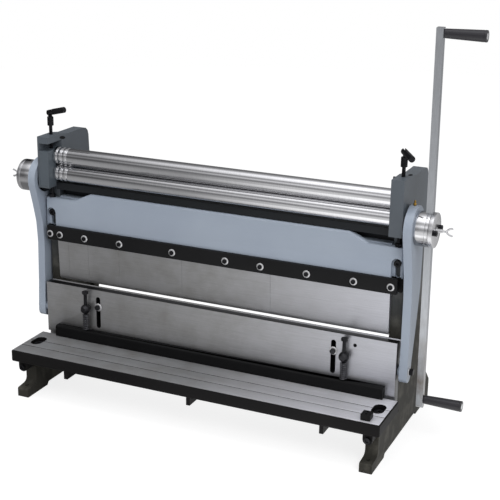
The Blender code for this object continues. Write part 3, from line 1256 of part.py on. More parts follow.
def hang_on_axes():
    """Give every moving group an empty on its joint's axis."""
    carry("crank_axis", (0, ROLL_Y, LOWER_ROLL_Z),
          ["lower_roll", "lower_gear", "crank_bar", *both("eccentric_hub", "hub_cap", "wing_screw")])
    carry("roll_gap_slide", (0, ROLL_Y, UPPER_ROLL_Z), both("roll_block"))
    carry("upper_roll_axis", (0, ROLL_Y, UPPER_ROLL_Z), ["upper_roll", "upper_gear"])
    carry("rear_roll_axis", (0, REAR_ROLL_Y, REAR_ROLL_Z), ["rear_roll", *both("rear_adjuster")])
    carry("ram_slide", (0, 0, RAM_BOTTOM_Z),
          ["ram_plate", "upper_blade", *both("arm_bolt", "hold_down_eye")])
    carry("hold_down_slide", (0, HOLD_Y, HOLD_BAR_LOW_Z),
          ["hold_down_bar", *both("hold_down_bolt", "hold_down_spring")])
    for side, sign in SIDES.items():
        carry(f"{side}_arm_axis", (sign * ARM_INNER_X, ARM_PIVOT_Y, ARM_PIVOT_Z), [f"{side}_arm"])
        carry(f"{side}_clamp_screw_axis", (sign * SCREW_X, ROLL_Y, SCREW_PIVOT_Z),
              [f"{side}_clamp_screw", f"{side}_clamp_grip"])


def stand_on_origin():
    """Shift the whole machine so that its box's bottom centre is the model's origin."""
    wing_tip = HUB_OUTER_X + WING_REACH
    base = bpy.data.objects.new("machine", None)
    base.location = ((wing_tip - GRIP_END_X) / 2, -(FOOT_REAR_Y + BED_FRONT_Y) / 2, 0)
    for item in list(PARTS.objects) + list(CUTTERS.objects):
        if item.parent is None:
            item.parent = base
    PARTS.objects.link(base)


def build():
    """Make every piece, then hang and place them."""
    head_tie_bar()
    rear_tie_bar()
    bed()
    lower_blade()
    bed_stop()
    upper_beam()
    finger_clamp_bar()
    brake_fingers()
    rolls()
    gear("lower_gear", LOWER_ROLL_Z, 0)
    gear("upper_gear", UPPER_ROLL_Z, 1)
    crank_bar()
    turning_grip("upper_grip", UPPER_GRIP_Z)
    turning_grip("lower_grip", LOWER_GRIP_Z)
    ram_plate()
    upper_blade()
    hold_down_bar()
    for side in SIDES:
        side_frame(side)
        bed_bolt(side)
        beam_bolt(side)
        beam_jack_screw(side)
        roll_block(side)
        rear_adjuster(side)
        clamp_screw(side)
        clamp_grip(side)
        eccentric_hub(side)
        hub_cap(side)
        wing_screw(side)
        lifting_arm(side)
        arm_bolt(side)
        guide_bolt(side)
        hold_down_eye(side)
        hold_down_bolt(side)
        hold_down_spring(side)
    grease_nipple()
    hang_on_axes()
    stand_on_origin()


build()
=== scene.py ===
"""Looks of the combination sheet metal machine: paint, ground and polished steel, edges and fasteners."""
import math

import bmesh
import bpy
import numpy as np
from mathutils import Matrix, Vector


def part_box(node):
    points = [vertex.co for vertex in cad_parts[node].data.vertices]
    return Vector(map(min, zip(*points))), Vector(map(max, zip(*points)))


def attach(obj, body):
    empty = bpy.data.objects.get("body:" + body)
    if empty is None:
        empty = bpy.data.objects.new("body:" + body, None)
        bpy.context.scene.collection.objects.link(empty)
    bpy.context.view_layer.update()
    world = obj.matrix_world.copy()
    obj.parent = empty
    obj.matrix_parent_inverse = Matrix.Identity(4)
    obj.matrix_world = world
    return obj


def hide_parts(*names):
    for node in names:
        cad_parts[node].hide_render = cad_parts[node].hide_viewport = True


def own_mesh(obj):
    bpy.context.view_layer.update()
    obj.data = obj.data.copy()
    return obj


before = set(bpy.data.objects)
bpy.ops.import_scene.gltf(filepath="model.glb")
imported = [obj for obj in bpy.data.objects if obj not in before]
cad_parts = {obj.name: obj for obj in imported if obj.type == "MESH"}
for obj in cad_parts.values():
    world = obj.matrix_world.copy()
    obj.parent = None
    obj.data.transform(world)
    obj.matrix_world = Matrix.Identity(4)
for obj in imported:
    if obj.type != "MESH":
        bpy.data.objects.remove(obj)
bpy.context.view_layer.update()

MM = 0.001
AHEAD_X, AHEAD_Y, AHEAD_Z = np.eye(3)

# How many sides large and small round pieces have, and how near two points are that count as one
FINE_SIDES = 96
BOLT_SIDES = 48
MERGE = 0.005 * MM

# Angles between faces: level enough to be one face, broken by a bevel, and left sharp in the shading
LEVEL_ANGLE = math.radians(0.5)
BEVEL_ANGLE = math.radians(30)
CREASE_ANGLE = math.radians(35)
BEVELLED_CREASE_ANGLE = math.radians(60)


# Places taken from the frame


def box_of(name):
    """A CAD node's lowest corner, highest corner and middle, as arrays."""
    low, high = (np.array(corner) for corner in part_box(name))
    return low, high, (low + high) / 2


MIDDLE_X = box_of("lower_blade")[2][0]
FRAME_INNER = MIDDLE_X - box_of("left_frame")[1][0]
SIDES = {"left": -1, "right": 1}

# The crank bar leans back a little from upright
BAR_TILT = math.radians(2.0)
BAR_UPRIGHT = np.array([0.0, -math.sin(BAR_TILT), math.cos(BAR_TILT)])
BAR_FLAT = np.array([0.0, math.cos(BAR_TILT), math.sin(BAR_TILT)])


# Materials


def linear(code):
    """An sRGB hex colour as linear red, green, blue and full alpha."""
    shares = [int(code[place:place + 2], 16) / 255 for place in (1, 3, 5)]
    light = [share / 12.92 if share <= 0.04045 else ((share + 0.055) / 1.055) ** 2.4 for share in shares]
    return (*light, 1.0)


def add(tree, kind, inputs=None, out=0, **settings):
    """Add a node and return one of its outputs: settings are its properties, inputs are values or sockets."""
    item = tree.nodes.new(kind)
    for name, value in settings.items():
        setattr(item, name, value)
    for key, value in (inputs or {}).items():
        if isinstance(value, bpy.types.NodeSocket):
            tree.links.new(value, item.inputs[key])
        else:
            item.inputs[key].default_value = value
    return item.outputs[out] if item.outputs else None


def noise(tree, place, size, detail, rough=0.5):
    """Noise whose clouds are about a size across."""
    return add(tree, "ShaderNodeTexNoise", {"Vector": place, "Scale": 1 / size, "Detail": detail,
                                            "Roughness": rough})


def stretched(tree, place, scale):
    """Coordinates squeezed along some axes, so that a noise on them is drawn out into lines."""
    return add(tree, "ShaderNodeMapping", {"Vector": place, "Scale": scale})


def ranged(tree, value, low=0.0, high=1.0, to_low=0.0, to_high=1.0):
    """A value that runs from low to high, made to run from to_low to to_high, where it stops."""
    return add(tree, "ShaderNodeMapRange", {"Value": value, "From Min": low, "From Max": high,
                                            "To Min": to_low, "To Max": to_high})


def mixed(tree, share, first, second, way="MIX"):
    """Two colours, as hex codes, values or sockets, mixed by a share."""
    first, second = (linear(colour) if isinstance(colour, str) else colour for colour in (first, second))
    return add(tree, "ShaderNodeMix", {0: share, 6: first, 7: second}, 2, data_type="RGBA", blend_type=way)


def toned_by(tree, colour, share):
    """A colour made darker or lighter by a share."""
    return mixed(tree, 1.0, colour, share, "MULTIPLY")


def worked(tree, operation, *values):
    """A sum on values or sockets."""
    return add(tree, "ShaderNodeMath", dict(enumerate(values)), operation=operation)


def axis_of(tree, place, number):
    """One of the three coordinates."""
    return add(tree, "ShaderNodeSeparateXYZ", {0: place}, number)


class Finish:
    """A material in the making: its tree, its Principled inputs and its Object coordinates."""

    def __init__(self, name, metallic, roughness):
        self.material = bpy.data.materials.new(name)
        self.material.use_nodes = True
        self.tree = self.material.node_tree
        self.into = self.tree.nodes["Principled BSDF"].inputs
        self.into["Metallic"].default_value = metallic
        self.into["Roughness"].default_value = roughness
        self.place = add(self.tree, "ShaderNodeTexCoord", out="Object")

    def linked(self, relief, distance, strength, **sockets):
        """Link the sockets to the inputs of those names and the relief to the normal; return the material."""
        for name, socket in sockets.items():
            self.tree.links.new(socket, self.into[name.replace("_", " ")])
        bump = add(self.tree, "ShaderNodeBump", {"Height": relief, "Distance": distance,
                                                 "Strength": strength})
        self.tree.links.new(bump, self.into["Normal"])
        return self.material


def enamel(name, body, shade, roughness, foot=None, sheen=0.5):
    """Two-pack enamel sprayed on cast iron: satin, with faint orange peel and clouds of unlike thickness.
    With a foot colour, it darkens from the head down towards that colour as painted shade, where less light
    falls low on the frames, and its sheen fades with it; a low sheen is a dusty, flat coat."""
    finish = Finish(name, 0.0, roughness)
    tree, place = finish.tree, finish.place
    finish.into["Specular IOR Level"].default_value = sheen
    clouds = noise(tree, place, 180 * MM, 4.0)
    paint = mixed(tree, ranged(tree, clouds, 0.35, 0.65), body, shade)
    sockets = {}
    if foot:
        # Painted shade: below the head the paint darkens to the patchy foot colour and loses its sheen,
        # standing in for the dimmer light low down
        lower_painted_shade = ranged(tree, axis_of(tree, place, 2), 0.32, 0.62, 1.0, 0.0)
        patchy = ranged(tree, noise(tree, place, 45 * MM, 6.0), 0.48, 0.72)
        paint = mixed(tree, lower_painted_shade, paint, mixed(tree, patchy, foot, "#57554f"))
        sockets["Specular_IOR_Level"] = ranged(tree, lower_painted_shade, to_low=sheen, to_high=0.02)
    peel = noise(tree, place, 2.5 * MM, 2.0)
    gloss = ranged(tree, peel, to_low=roughness - 0.06, to_high=roughness + 0.08)
    return finish.linked(peel, 0.05 * MM, 0.5, Base_Color=paint, Roughness=gloss, **sockets)


def ground_steel(name, body, stain, roughness, metallic, painted_light_tint):
    """Steel or iron ground along X: parallel wheel marks, cloudy, darker oil stains and small specks.
    Towards +X it grows paler, to a given tint, as painted light standing in for the brighter reflection at
    the machine's right end."""
    finish = Finish(name, metallic, roughness)
    tree, place = finish.tree, finish.place
    marks = noise(tree, stretched(tree, place, (0.02, 1.0, 1.0)), 1.2 * MM, 5.0, 0.7)
    clouds = noise(tree, place, 60 * MM, 6.0, 0.6)
    toned = mixed(tree, ranged(tree, clouds, 0.40, 0.75), body, stain)
    # Painted light: paler towards +X, where the steel shows a brighter reflection
    toned = mixed(tree, ranged(tree, axis_of(tree, place, 0), -0.04, 0.48), toned, painted_light_tint)
    lined = toned_by(tree, toned, ranged(tree, marks, 0.3, 0.7, 0.82, 1.08))
    specks = noise(tree, place, 3 * MM, 3.0)
    spotted = mixed(tree, ranged(tree, specks, 0.66, 0.74, to_high=0.2), lined, stain)
    rough = ranged(tree, marks, to_low=roughness - 0.08, to_high=roughness + 0.12)
    return finish.linked(marks, 0.03 * MM, 0.6, Base_Color=spotted, Roughness=rough)


def turned_steel(name, body, roughness, pitch, painted_shade_below=None):
    """Lathe-turned and polished metal about the X axis: fine rings of unlike brightness round it.
    Below a height, where that is given, it is darkened as painted shade, standing in for the dimmer
    reflection on its underside."""
    finish = Finish(name, 1.0, roughness)
    tree, place = finish.tree, finish.place
    rings = noise(tree, stretched(tree, place, (1.0, 0.03, 0.03)), pitch, 4.0, 0.65)
    toned = toned_by(tree, body, ranged(tree, rings, 0.3, 0.7, 0.86, 1.04))
    # Painted shade: darker below the height
    if painted_shade_below:
        underside_painted_shade = ranged(tree, axis_of(tree, place, 2), painted_shade_below - 8 * MM, painted_shade_below, 0.42, 1.0)
        toned = toned_by(tree, toned, underside_painted_shade)
    rough = ranged(tree, rings, to_low=roughness * 0.8, to_high=roughness * 1.3)
    return finish.linked(rings, 0.01 * MM, 0.5, Base_Color=toned, Roughness=rough)


def drawn_bar_steel(name, body, tarnish, foot, head):
    """Cold-drawn bar, brushed lengthwise, with brown handling tarnish that fades out between two heights."""
    finish = Finish(name, 0.9, 0.34)
    tree, place = finish.tree, finish.place
    brush = noise(tree, stretched(tree, place, (1.0, 1.0, 0.02)), 1.0 * MM, 5.0)
    low = ranged(tree, axis_of(tree, place, 2), foot, head, 0.85, 0.0)
    patchy = ranged(tree, noise(tree, place, 45 * MM, 5.0), 0.35, 0.65)
    toned = mixed(tree, worked(tree, "MULTIPLY", low, patchy), body, tarnish)
    lined = toned_by(tree, toned, ranged(tree, brush, 0.3, 0.7, 0.85, 1.05))
    return finish.linked(brush, 0.02 * MM, 0.5, Base_Color=lined)


def black_oxide(name, body, bare, roughness, metallic):
    """Chemically blackened or oiled steel, with small paler rubs."""
    finish = Finish(name, metallic, roughness)
    tree = finish.tree
    rubs = noise(tree, finish.place, 9 * MM, 6.0, 0.7)
    toned = mixed(tree, ranged(tree, rubs, 0.50, 0.80, to_high=0.45), body, bare)
    rough = ranged(tree, rubs, to_low=roughness - 0.08, to_high=roughness + 0.14)
    return finish.linked(rubs, 0.04 * MM, 0.4, Base_Color=toned, Roughness=rough)


def zinc_plate(name, body, shade):
    """Zinc plate on pressed steel: pale and softly shining, with small crystals of unlike tone."""
    finish = Finish(name, 0.7, 0.38)
    tree = finish.tree
    crystals = add(tree, "ShaderNodeTexVoronoi", {"Vector": finish.place, "Scale": 1 / (1.6 * MM)}, "Color")
    grey = add(tree, "ShaderNodeSeparateColor", {0: crystals}, 0)
    rough = ranged(tree, grey, to_low=0.32, to_high=0.44)
    return finish.linked(grey, 0.01 * MM, 0.3, Base_Color=mixed(tree, grey, body, shade), Roughness=rough)


def moulded_plastic(name, body):
    """Injection-moulded phenolic grip: black, semi-gloss, with a faint mottled skin."""
    finish = Finish(name, 0.0, 0.38)
    tree = finish.tree
    skin = noise(tree, finish.place, 1.5 * MM, 3.0)
    toned = toned_by(tree, body, ranged(tree, skin, to_low=0.8, to_high=1.2))
    rough = ranged(tree, skin, to_low=0.30, to_high=0.46)
    return finish.linked(skin, 0.03 * MM, 0.4, Base_Color=toned, Roughness=rough)


# Sprayed paints: slate on the frames and roll blocks, light blue on the beam and arms, the rest near black;
# painted shade darkens the frames' slate towards the floor and turns the head tie bar's slate near black
SLATE = enamel("slate_enamel", "#535b62", "#4c5359", 0.42)
# The frames' slate darkens towards the floor as painted shade
FRAME_PAINT_SHADED_LOW = enamel("frame_slate_enamel_painted_shade", "#555c63", "#4e545a", 0.42, "#393834")
# Painted shade: the head tie bar is slate enamel in shade under the rolls, painted near black
SHADE_PAINT = enamel("head_tie_bar_painted_shade_enamel", "#181b1f", "#131619", 0.5, sheen=0.3)
LIGHT_BLUE = enamel("light_blue_enamel", "#9ea8b5", "#98a2b0", 0.36)
DARK_PAINT = enamel("dark_grey_enamel", "#222324", "#1c1d1e", 0.5, sheen=0.3)
BLACK_PAINT = enamel("black_bar_enamel", "#101011", "#0b0b0c", 0.5, sheen=0.15)
# Painted light: the clamp bar's black is a lighter copy of the bar enamel above, as the clamp bar is better
# lit than the shaded hold-down bar
CLAMP_PAINT_LIT = enamel("black_clamp_bar_enamel_lit_copy", "#1b1b1c", "#161617", 0.5, sheen=0.15)
BED_PAINT = enamel("black_bed_enamel", "#141313", "#0f0e0f", 0.55, sheen=0.15)

# Bare metal: the bed's ground top, blades and plates, rolls, hubs, caps, the crank bar and a brass nipple
# The hubs' turned steel is darkened below this height as painted shade
PAINTED_SHADE_HEIGHT = box_of("right_hub_cap")[0][2] + 40 * MM
# The bed's ground top, the blades and the plates grow paler to the right as painted light
GROUND_PAINTED_LIGHT = ground_steel("ground_iron", "#9fa0a2", "#908f8e", 0.46, 0.55, "#f2f2f8")
BLADE_PAINTED_LIGHT = ground_steel("ground_blade_steel_painted_light", "#b2b2b3", "#a1a09e", 0.40, 0.85, "#c0c1c7")
POLISHED = turned_steel("polished_roll_steel", "#dadadc", 0.11, 0.9 * MM)
TURNED_SHADED_BELOW = turned_steel("bright_turned_steel_shaded_below", "#e8e8ea", 0.11, 0.6 * MM, PAINTED_SHADE_HEIGHT)
FACED = turned_steel("faced_steel", "#d6d6d8", 0.26, 0.6 * MM)
BAR = drawn_bar_steel("drawn_bar_steel", "#b4b7bb", "#6e6152", 0.13, 0.42)
BRASS = turned_steel("turned_brass", "#c29a4c", 0.28, 0.4 * MM)

# Fasteners and grips: blackened, worn and oiled steel, zinc plate and moulded plastic
OXIDE = black_oxide("black_oxide_steel", "#1c1c1f", "#515155", 0.32, 0.75)
WORN_OXIDE = black_oxide("worn_black_steel", "#2a2a2d", "#6a6a6e", 0.28, 0.8)
SPRING = black_oxide("oiled_spring_steel", "#68686c", "#c0c0c4", 0.20, 0.9)
ZINC = zinc_plate("zinc_plated_steel", "#dededf", "#c8c8ca")
GRIP = moulded_plastic("black_grip_plastic", "#27262a")


# Surfaces


def surface(name, grid):
    """A surface over a grid of points, rows by columns, joined round from the last column to the first."""
    rows, columns = grid.shape[:2]
    left = np.arange(rows * columns).reshape(rows, columns)
    right = np.roll(left, -1, axis=1)
    faces = np.stack([left[:-1], right[:-1], right[1:], left[1:]], -1).reshape(-1, 4)
    mesh = bpy.data.meshes.new(name)
    mesh.from_pydata(grid.reshape(-1, 3), [], faces.tolist())
    item = bpy.data.objects.new(name, mesh)
    bpy.context.scene.collection.objects.link(item)
    return smoothed(item)


def smoothed(item):
    """Close an item's poles, turn its faces outwards and shade it smooth up to sharp edges."""
    shape = bmesh.new()
    shape.from_mesh(item.data)
    bmesh.ops.remove_doubles(shape, verts=shape.verts, dist=MERGE)
    bmesh.ops.recalc_face_normals(shape, faces=shape.faces)
    shape.to_mesh(item.data)
    shape.free()
    item.data.shade_smooth()
    item.data.set_sharp_from_angle(angle=CREASE_ANGLE)
    return item


def eased(points, radius, steps=3):
    """A profile with its corners eased: each gives way to the curve (1-t)^2 a + 2t(1-t) p + t^2 b, where p is
    the corner and a and b lie a radius from it on its two sides, or less than halfway to the next corner."""
    corners = np.asarray(points, float)
    before, here, after = corners[:-2], corners[1:-1], corners[2:]
    back, ahead = before - here, after - here
    back_length = np.linalg.norm(back[:, :2], axis=1, keepdims=True) + 1e-9
    ahead_length = np.linalg.norm(ahead[:, :2], axis=1, keepdims=True) + 1e-9
    reach = np.minimum(radius, np.minimum(back_length, ahead_length) * 0.45)
    first = (here + back / back_length * reach)[:, None]
    last = (here + ahead / ahead_length * reach)[:, None]
    share = np.linspace(0, 1, steps + 1)[None, :, None]
    curve = (1 - share) ** 2 * first + 2 * share * (1 - share) * here[:, None] + share ** 2 * last
    return np.vstack([corners[:1], curve.reshape(-1, corners.shape[1]), corners[-1:]])


def square_frame(aim):
    """A line's direction and two more, square to it and to each other."""
    ahead = np.asarray(aim, float) / np.linalg.norm(aim)
    helper = AHEAD_Z if abs(ahead[2]) < 0.9 else AHEAD_X
    across = np.cross(helper, ahead)
    across /= np.linalg.norm(across)
    return ahead, across, np.cross(ahead, across)


def spun(name, profile, start, aim, sides=BOLT_SIDES, ease=0.4 * MM):
    """A turned piece: each profile point (height h, radius r, hexed share k, or 0 where it isn't given) goes
    round the line from start along aim, to start + h aim + w (cos a across + sin a up), where w is
    r (1 - k + k cos30 / cos((a mod 60) - 30))."""
    rows = eased([(*point, 0.0) if len(point) == 2 else point for point in profile], ease)
    ahead, across, up = square_frame(aim)
    angle = np.linspace(0, 2 * np.pi, sides, endpoint=False)
    flat = math.cos(math.pi / 6) / np.cos(np.mod(angle, np.pi / 3) - np.pi / 6)
    height, radius, hexed = rows[:, 0, None], rows[:, 1, None], rows[:, 2, None]
    wide = radius * (1 - hexed + hexed * flat[None, :])
    ring = np.cos(angle)[:, None] * across + np.sin(angle)[:, None] * up
    grid = np.asarray(start, float) + height[:, :, None] * ahead + wide[:, :, None] * ring[None]
    return surface(name, grid)


def swept(name, path, radius, sides=10):
    """A round wire: at each point p of the path, p + r (cos a n + sin a b), with n and b square to the path;
    n leans away from the path's middle line, so that it doesn't twist. Its ends close on points."""
    along = np.gradient(path, axis=0)
    along /= np.linalg.norm(along, axis=1, keepdims=True)
    outward = path - path.mean(0)
    outward[:, 2] = 0
    normal = outward - (outward * along).sum(1, keepdims=True) * along
    normal /= np.linalg.norm(normal, axis=1, keepdims=True)
    side = np.cross(along, normal)
    angle = np.linspace(0, 2 * np.pi, sides, endpoint=False)[None, :, None]
    grid = path[:, None] + radius * (np.cos(angle) * normal[:, None] + np.sin(angle) * side[:, None])
    first, last = (np.repeat(end[:, None], sides, 1) for end in (path[:1], path[-1:]))
    return surface(name, np.vstack([first, grid, last]))


def slab(name, start, across, up, aim, outline, low, high, ease=0.0):
    """A plate: an outline round a middle, in steps from low to high along aim, and at both ends drawn in
    towards its middle by ease, so that point = start + x across + y up + h aim."""
    outline = np.asarray(outline, float)
    middle = outline.mean(0)
    size = np.abs(outline - middle).max()
    inset = middle + (outline - middle) * (1 - ease / size)
    centre = np.repeat(middle[None], len(outline), 0)
    rows = ((centre, low), (inset, low), (outline, low + ease), (outline, high - ease), (inset, high),
            (centre, high))
    return surface(name, np.stack([np.asarray(start) + flat[:, :1] * across + flat[:, 1:] * up + height * aim
                                   for flat, height in rows]))


def oval(half_width, half_height):
    """Points round an ellipse."""
    turn = np.linspace(0, 2 * np.pi, BOLT_SIDES, endpoint=False)
    return np.stack([half_width * np.cos(turn), half_height * np.sin(turn)], 1)


def rectangle(half_width, half_height):
    """The four corners of a rectangle about its middle."""
    return np.array([(-half_width, -half_height), (half_width, -half_height), (half_width, half_height),
                     (-half_width, half_height)])


def cut_out(item, tool):
    """Cut a tool's shape out of an item for good, and remove the tool."""
    step = item.modifiers.new("cut", "BOOLEAN")
    step.operation = "DIFFERENCE"
    step.solver = "EXACT"
    step.object = tool
    bpy.context.view_layer.update()
    shape = bpy.data.meshes.new_from_object(item.evaluated_get(bpy.context.evaluated_depsgraph_get()))
    item.modifiers.clear()
    item.data = shape
    bpy.data.objects.remove(tool)
    return smoothed(item)


def bored(item, place, aim, radius, low, high):
    """Bore a hole into an item round the line from a place along aim, from low to high."""
    return cut_out(item, spun("bore", [(low, 0), (low, radius), (high, radius), (high, 0)], place, aim))


# Copies of the CAD's nodes, and what every piece is given


def fitted(item, material, body, slot, *nodes):
    """Give a piece its finish and its body, and hide the CAD nodes that it stands for; its slot is not used.
    """
    item.data.materials.append(material)
    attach(item, body)
    if nodes:
        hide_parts(*nodes)
    return item


def carried(name):
    """A CAD node's mesh as one merged, clean shape of its own, ready for bevels."""
    item = bpy.data.objects.new(name + "_finished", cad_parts[name].data.copy())
    bpy.context.scene.collection.objects.link(item)
    item.data.materials.clear()
    shape = bmesh.new()
    shape.from_mesh(item.data)
    bmesh.ops.remove_doubles(shape, verts=shape.verts, dist=2 * MERGE)
    bmesh.ops.dissolve_limit(shape, angle_limit=LEVEL_ANGLE, verts=shape.verts, edges=shape.edges)
    shape.to_mesh(item.data)
    shape.free()
    return item


def bevelled(item, width):
    """Round an item's sharp edges by a width, with the faces' shading kept flat beside them."""
    edge = item.modifiers.new("edge_break", "BEVEL")
    edge.width = width
    edge.segments = 3
    edge.limit_method = "ANGLE"
    edge.angle_limit = BEVEL_ANGLE
    edge.use_clamp_overlap = True
    edge.harden_normals = True
    item.data.shade_smooth()
    item.data.set_sharp_from_angle(angle=BEVELLED_CREASE_ANGLE)
    return item


def finished(name, material, body, slot, width):
    """Replace a CAD node by its merged copy with broken edges and a finish."""
    return fitted(bevelled(carried(name), width), material, body, slot, name)


def second_finish(item, material, chosen):
    """Give the chosen faces of an item another finish."""
    item.data.materials.append(material)
    for face in item.data.polygons:
        if chosen(face):
            face.material_index = len(item.data.materials) - 1


# Frames, beam, arms, bed and their small fittings


def finish_cast_pieces():
    """Frames, beam, arms, plates and bars keep the CAD's shape, with edges broken by so many millimetres."""
    plans = (
        ("slate_paint", "stand", FRAME_PAINT_SHADED_LOW, 1.8, ("left_frame", "right_frame")),
        ("slate_paint", "stand", SHADE_PAINT, 1.2, ("head_tie_bar",)),
        ("slate_paint", "roll_carriage", SLATE, 1.2, ("left_roll_block", "right_roll_block")),
        ("dark_paint", "stand", DARK_PAINT, 1.0, ("rear_tie_bar",)),
        ("light_blue_paint", "stand", LIGHT_BLUE, 2.0, ("upper_beam",)),
        ("light_blue_paint", "right_lift_arm", LIGHT_BLUE, 2.2, ("right_arm",)),
        ("ground_steel", "stand", BLADE_PAINTED_LIGHT, 0.4, ("lower_blade",)),
        ("ground_steel", "stand", BLADE_PAINTED_LIGHT, 1.2, tuple(f"brake_finger_{number}" for number in range(1, 7))),
        ("ground_steel", "ram", BLADE_PAINTED_LIGHT, 0.6, ("ram_plate", "upper_blade")),
        ("black_steel", "stand", CLAMP_PAINT_LIT, 0.8, ("finger_clamp_bar",)),
        ("black_steel", "hold_down", BLACK_PAINT, 0.8, ("hold_down_bar",)),
        ("black_steel", "rear_carriage", OXIDE, 0.5, ("left_rear_adjuster", "right_rear_adjuster")),
        ("spring_steel", "crank", SPRING, 0.2, ("lower_gear",)),
        ("spring_steel", "top_roll", SPRING, 0.2, ("upper_gear",)),
        ("black_steel", "left_screw", OXIDE, 0.5, ("left_clamp_screw",)),
        ("black_steel", "right_screw", OXIDE, 0.5, ("right_clamp_screw",)),
        ("black_steel", "left_tee", OXIDE, 0.5, ("left_clamp_grip",)),
        ("black_steel", "right_tee", OXIDE, 0.5, ("right_clamp_grip",)),
    )
    items = {name: finished(name, material, body, slot, width * MM)
             for slot, body, material, width, names in plans for name in names}
    # The ram plate's faces that look neither forward nor back, its ends and the walls of its slots and bores,
    # are darkened with black steel
    second_finish(items["ram_plate"], WORN_OXIDE, lambda face: abs(face.normal.y) < 0.7)
    # Painted shade: the beam's forward faces in the rebate behind the clamp bar are painted black, where
    # shade falls
    shaded_rebate_top = box_of("finger_clamp_bar")[1][2]
    second_finish(items["upper_beam"], BLACK_PAINT,
                  lambda face: face.normal.y < -0.9 and face.center.z < shaded_rebate_top)


def finish_left_arm():
    """The left arm, which leans out below its ring: with u = (z - foot) / (ring - foot) held to 0..1, a
    point moves out by lean (1 - u)^2 (1 + 2u), but no further than the swell round its bolt; the boss that
    meets the ram stays. It's first parted at many heights, so that the leaning faces stay flat."""
    item = carried("left_arm")
    low, high, _ = box_of("left_arm")
    lean, foot, ring = 6.5 * MM, low[2] + 40 * MM, high[2] - 125 * MM
    boss = box_of("ram_plate")[0][0] - 4.6 * MM
    shape = bmesh.new()
    shape.from_mesh(item.data)
    for height in np.linspace(foot, ring, 25):
        bmesh.ops.bisect_plane(shape, geom=shape.verts[:] + shape.edges[:] + shape.faces[:],
                               plane_co=(0, 0, height), plane_no=(0, 0, 1))
    for corner in shape.verts:
        if corner.co.x < boss:
            u = min(max((corner.co.z - foot) / (ring - foot), 0), 1)
            corner.co.x = max(corner.co.x - lean * (1 - u) ** 2 * (1 + 2 * u), low[0])
    shape.to_mesh(item.data)
    shape.free()
    fitted(bevelled(item, 2.2 * MM), LIGHT_BLUE, "left_lift_arm", "light_blue_paint", "left_arm")


def finish_bed():
    """The bed: black enamel with a ground top, parted by which way each face looks."""
    item = finished("bed", BED_PAINT, "stand", "ground_iron", 1.0 * MM)
    top = box_of("bed")[1][2]
    second_finish(item, GROUND_PAINTED_LIGHT, lambda face: face.normal.z > 0.9 and face.center.z > top - 0.1 * MM)


def finish_stop():
    """The bed's stop block, with two round screw holes in its top, side by side across the bed."""
    low, high, middle = box_of("bed_stop")
    item = carried("bed_stop")
    for way in (-1, 1):
        place = np.array([middle[0], middle[1] + way * (high[1] - low[1]) * 0.24, high[2]])
        bored(item, place, AHEAD_Z, 3 * MM, -8 * MM, 3 * MM)
    fitted(bevelled(item, 0.6 * MM), BLACK_PAINT, "stand", "black_steel", "bed_stop")


def finish_heads():
    """Small black fittings of the heads, placed from the lower roll's middle and the heads' tops: flat black
    ovals on the right head's top and inside the left head, painted shade standing in for dark holes, and a
    screw at the right head's inner top edge."""
    top = box_of("right_frame")[1]
    roll_y = box_of("lower_roll")[2][1]
    tilt = math.radians(-12)
    lengthwise = np.array([0.0, math.cos(tilt), math.sin(tilt)])
    upward = np.array([0.0, -math.sin(tilt), math.cos(tilt)])
    plans = (
        ("right_head_dark_oval", (top[0] - 6.2 * MM, roll_y + 23.95 * MM, top[2]), AHEAD_Y, -AHEAD_X, AHEAD_Z,
         oval(8.5 * MM, 5.5 * MM)),
        ("left_head_dark_oval", (MIDDLE_X - FRAME_INNER, roll_y + 31.95 * MM, top[2] - 14.2 * MM), lengthwise,
         upward, AHEAD_X, oval(15 * MM, 4.5 * MM)),
    )
    # Painted shade: flat black ovals where the heads have dark holes
    for name, place, across, up, aim, outline in plans:
        fitted(slab(name, place, across, up, aim, outline, -0.5 * MM, 0.6 * MM, 0.4 * MM), BLACK_PAINT,
               "stand", "black_steel")
    place = np.array([MIDDLE_X + FRAME_INNER, roll_y - 10.05 * MM, top[2] - 3.7 * MM])
    fitted(socket_screw("right_head_screw", place, -AHEAD_X, 4.2 * MM, 5.6 * MM, 2.0 * MM), OXIDE, "stand",
           "black_steel")


# Rolls and hubs


def finish_rolls():
    """Ground and polished rolls: a barrel between two journals, with three round wire grooves at the left."""
    barrel, journal = 24.4 * MM, 11.0 * MM
    half = FRAME_INNER - 4.2 * MM
    depth, width, pitch = 3.6 * MM, 5.6 * MM, 15.4 * MM
    groove = ((-0.5, 0), (-0.28, 0.75), (0, 1), (0.28, 0.75), (0.5, 0))
    for name, body, grooves in (("upper_roll", "top_roll", 3), ("lower_roll", "crank", 3),
                                ("rear_roll", "bending_roll", 0)):
        low, high, middle = box_of(name)
        end = (high[0] - low[0]) / 2
        left = half + 3.4 * MM if grooves else half
        profile = [(-end, 0), (-end, journal), (-left, journal), (-left, barrel)]
        for number in range(grooves):
            at = pitch * (number + 1) - left - 3.0 * MM
            profile += [(at + width * across, barrel - depth * down) for across, down in groove]
        profile += [(half, barrel), (half, journal), (end, journal), (end, 0)]
        item = spun(name + "_polished", profile, middle, AHEAD_X, FINE_SIDES, 0.8 * MM)
        fitted(item, POLISHED, body, "polished_steel", name)


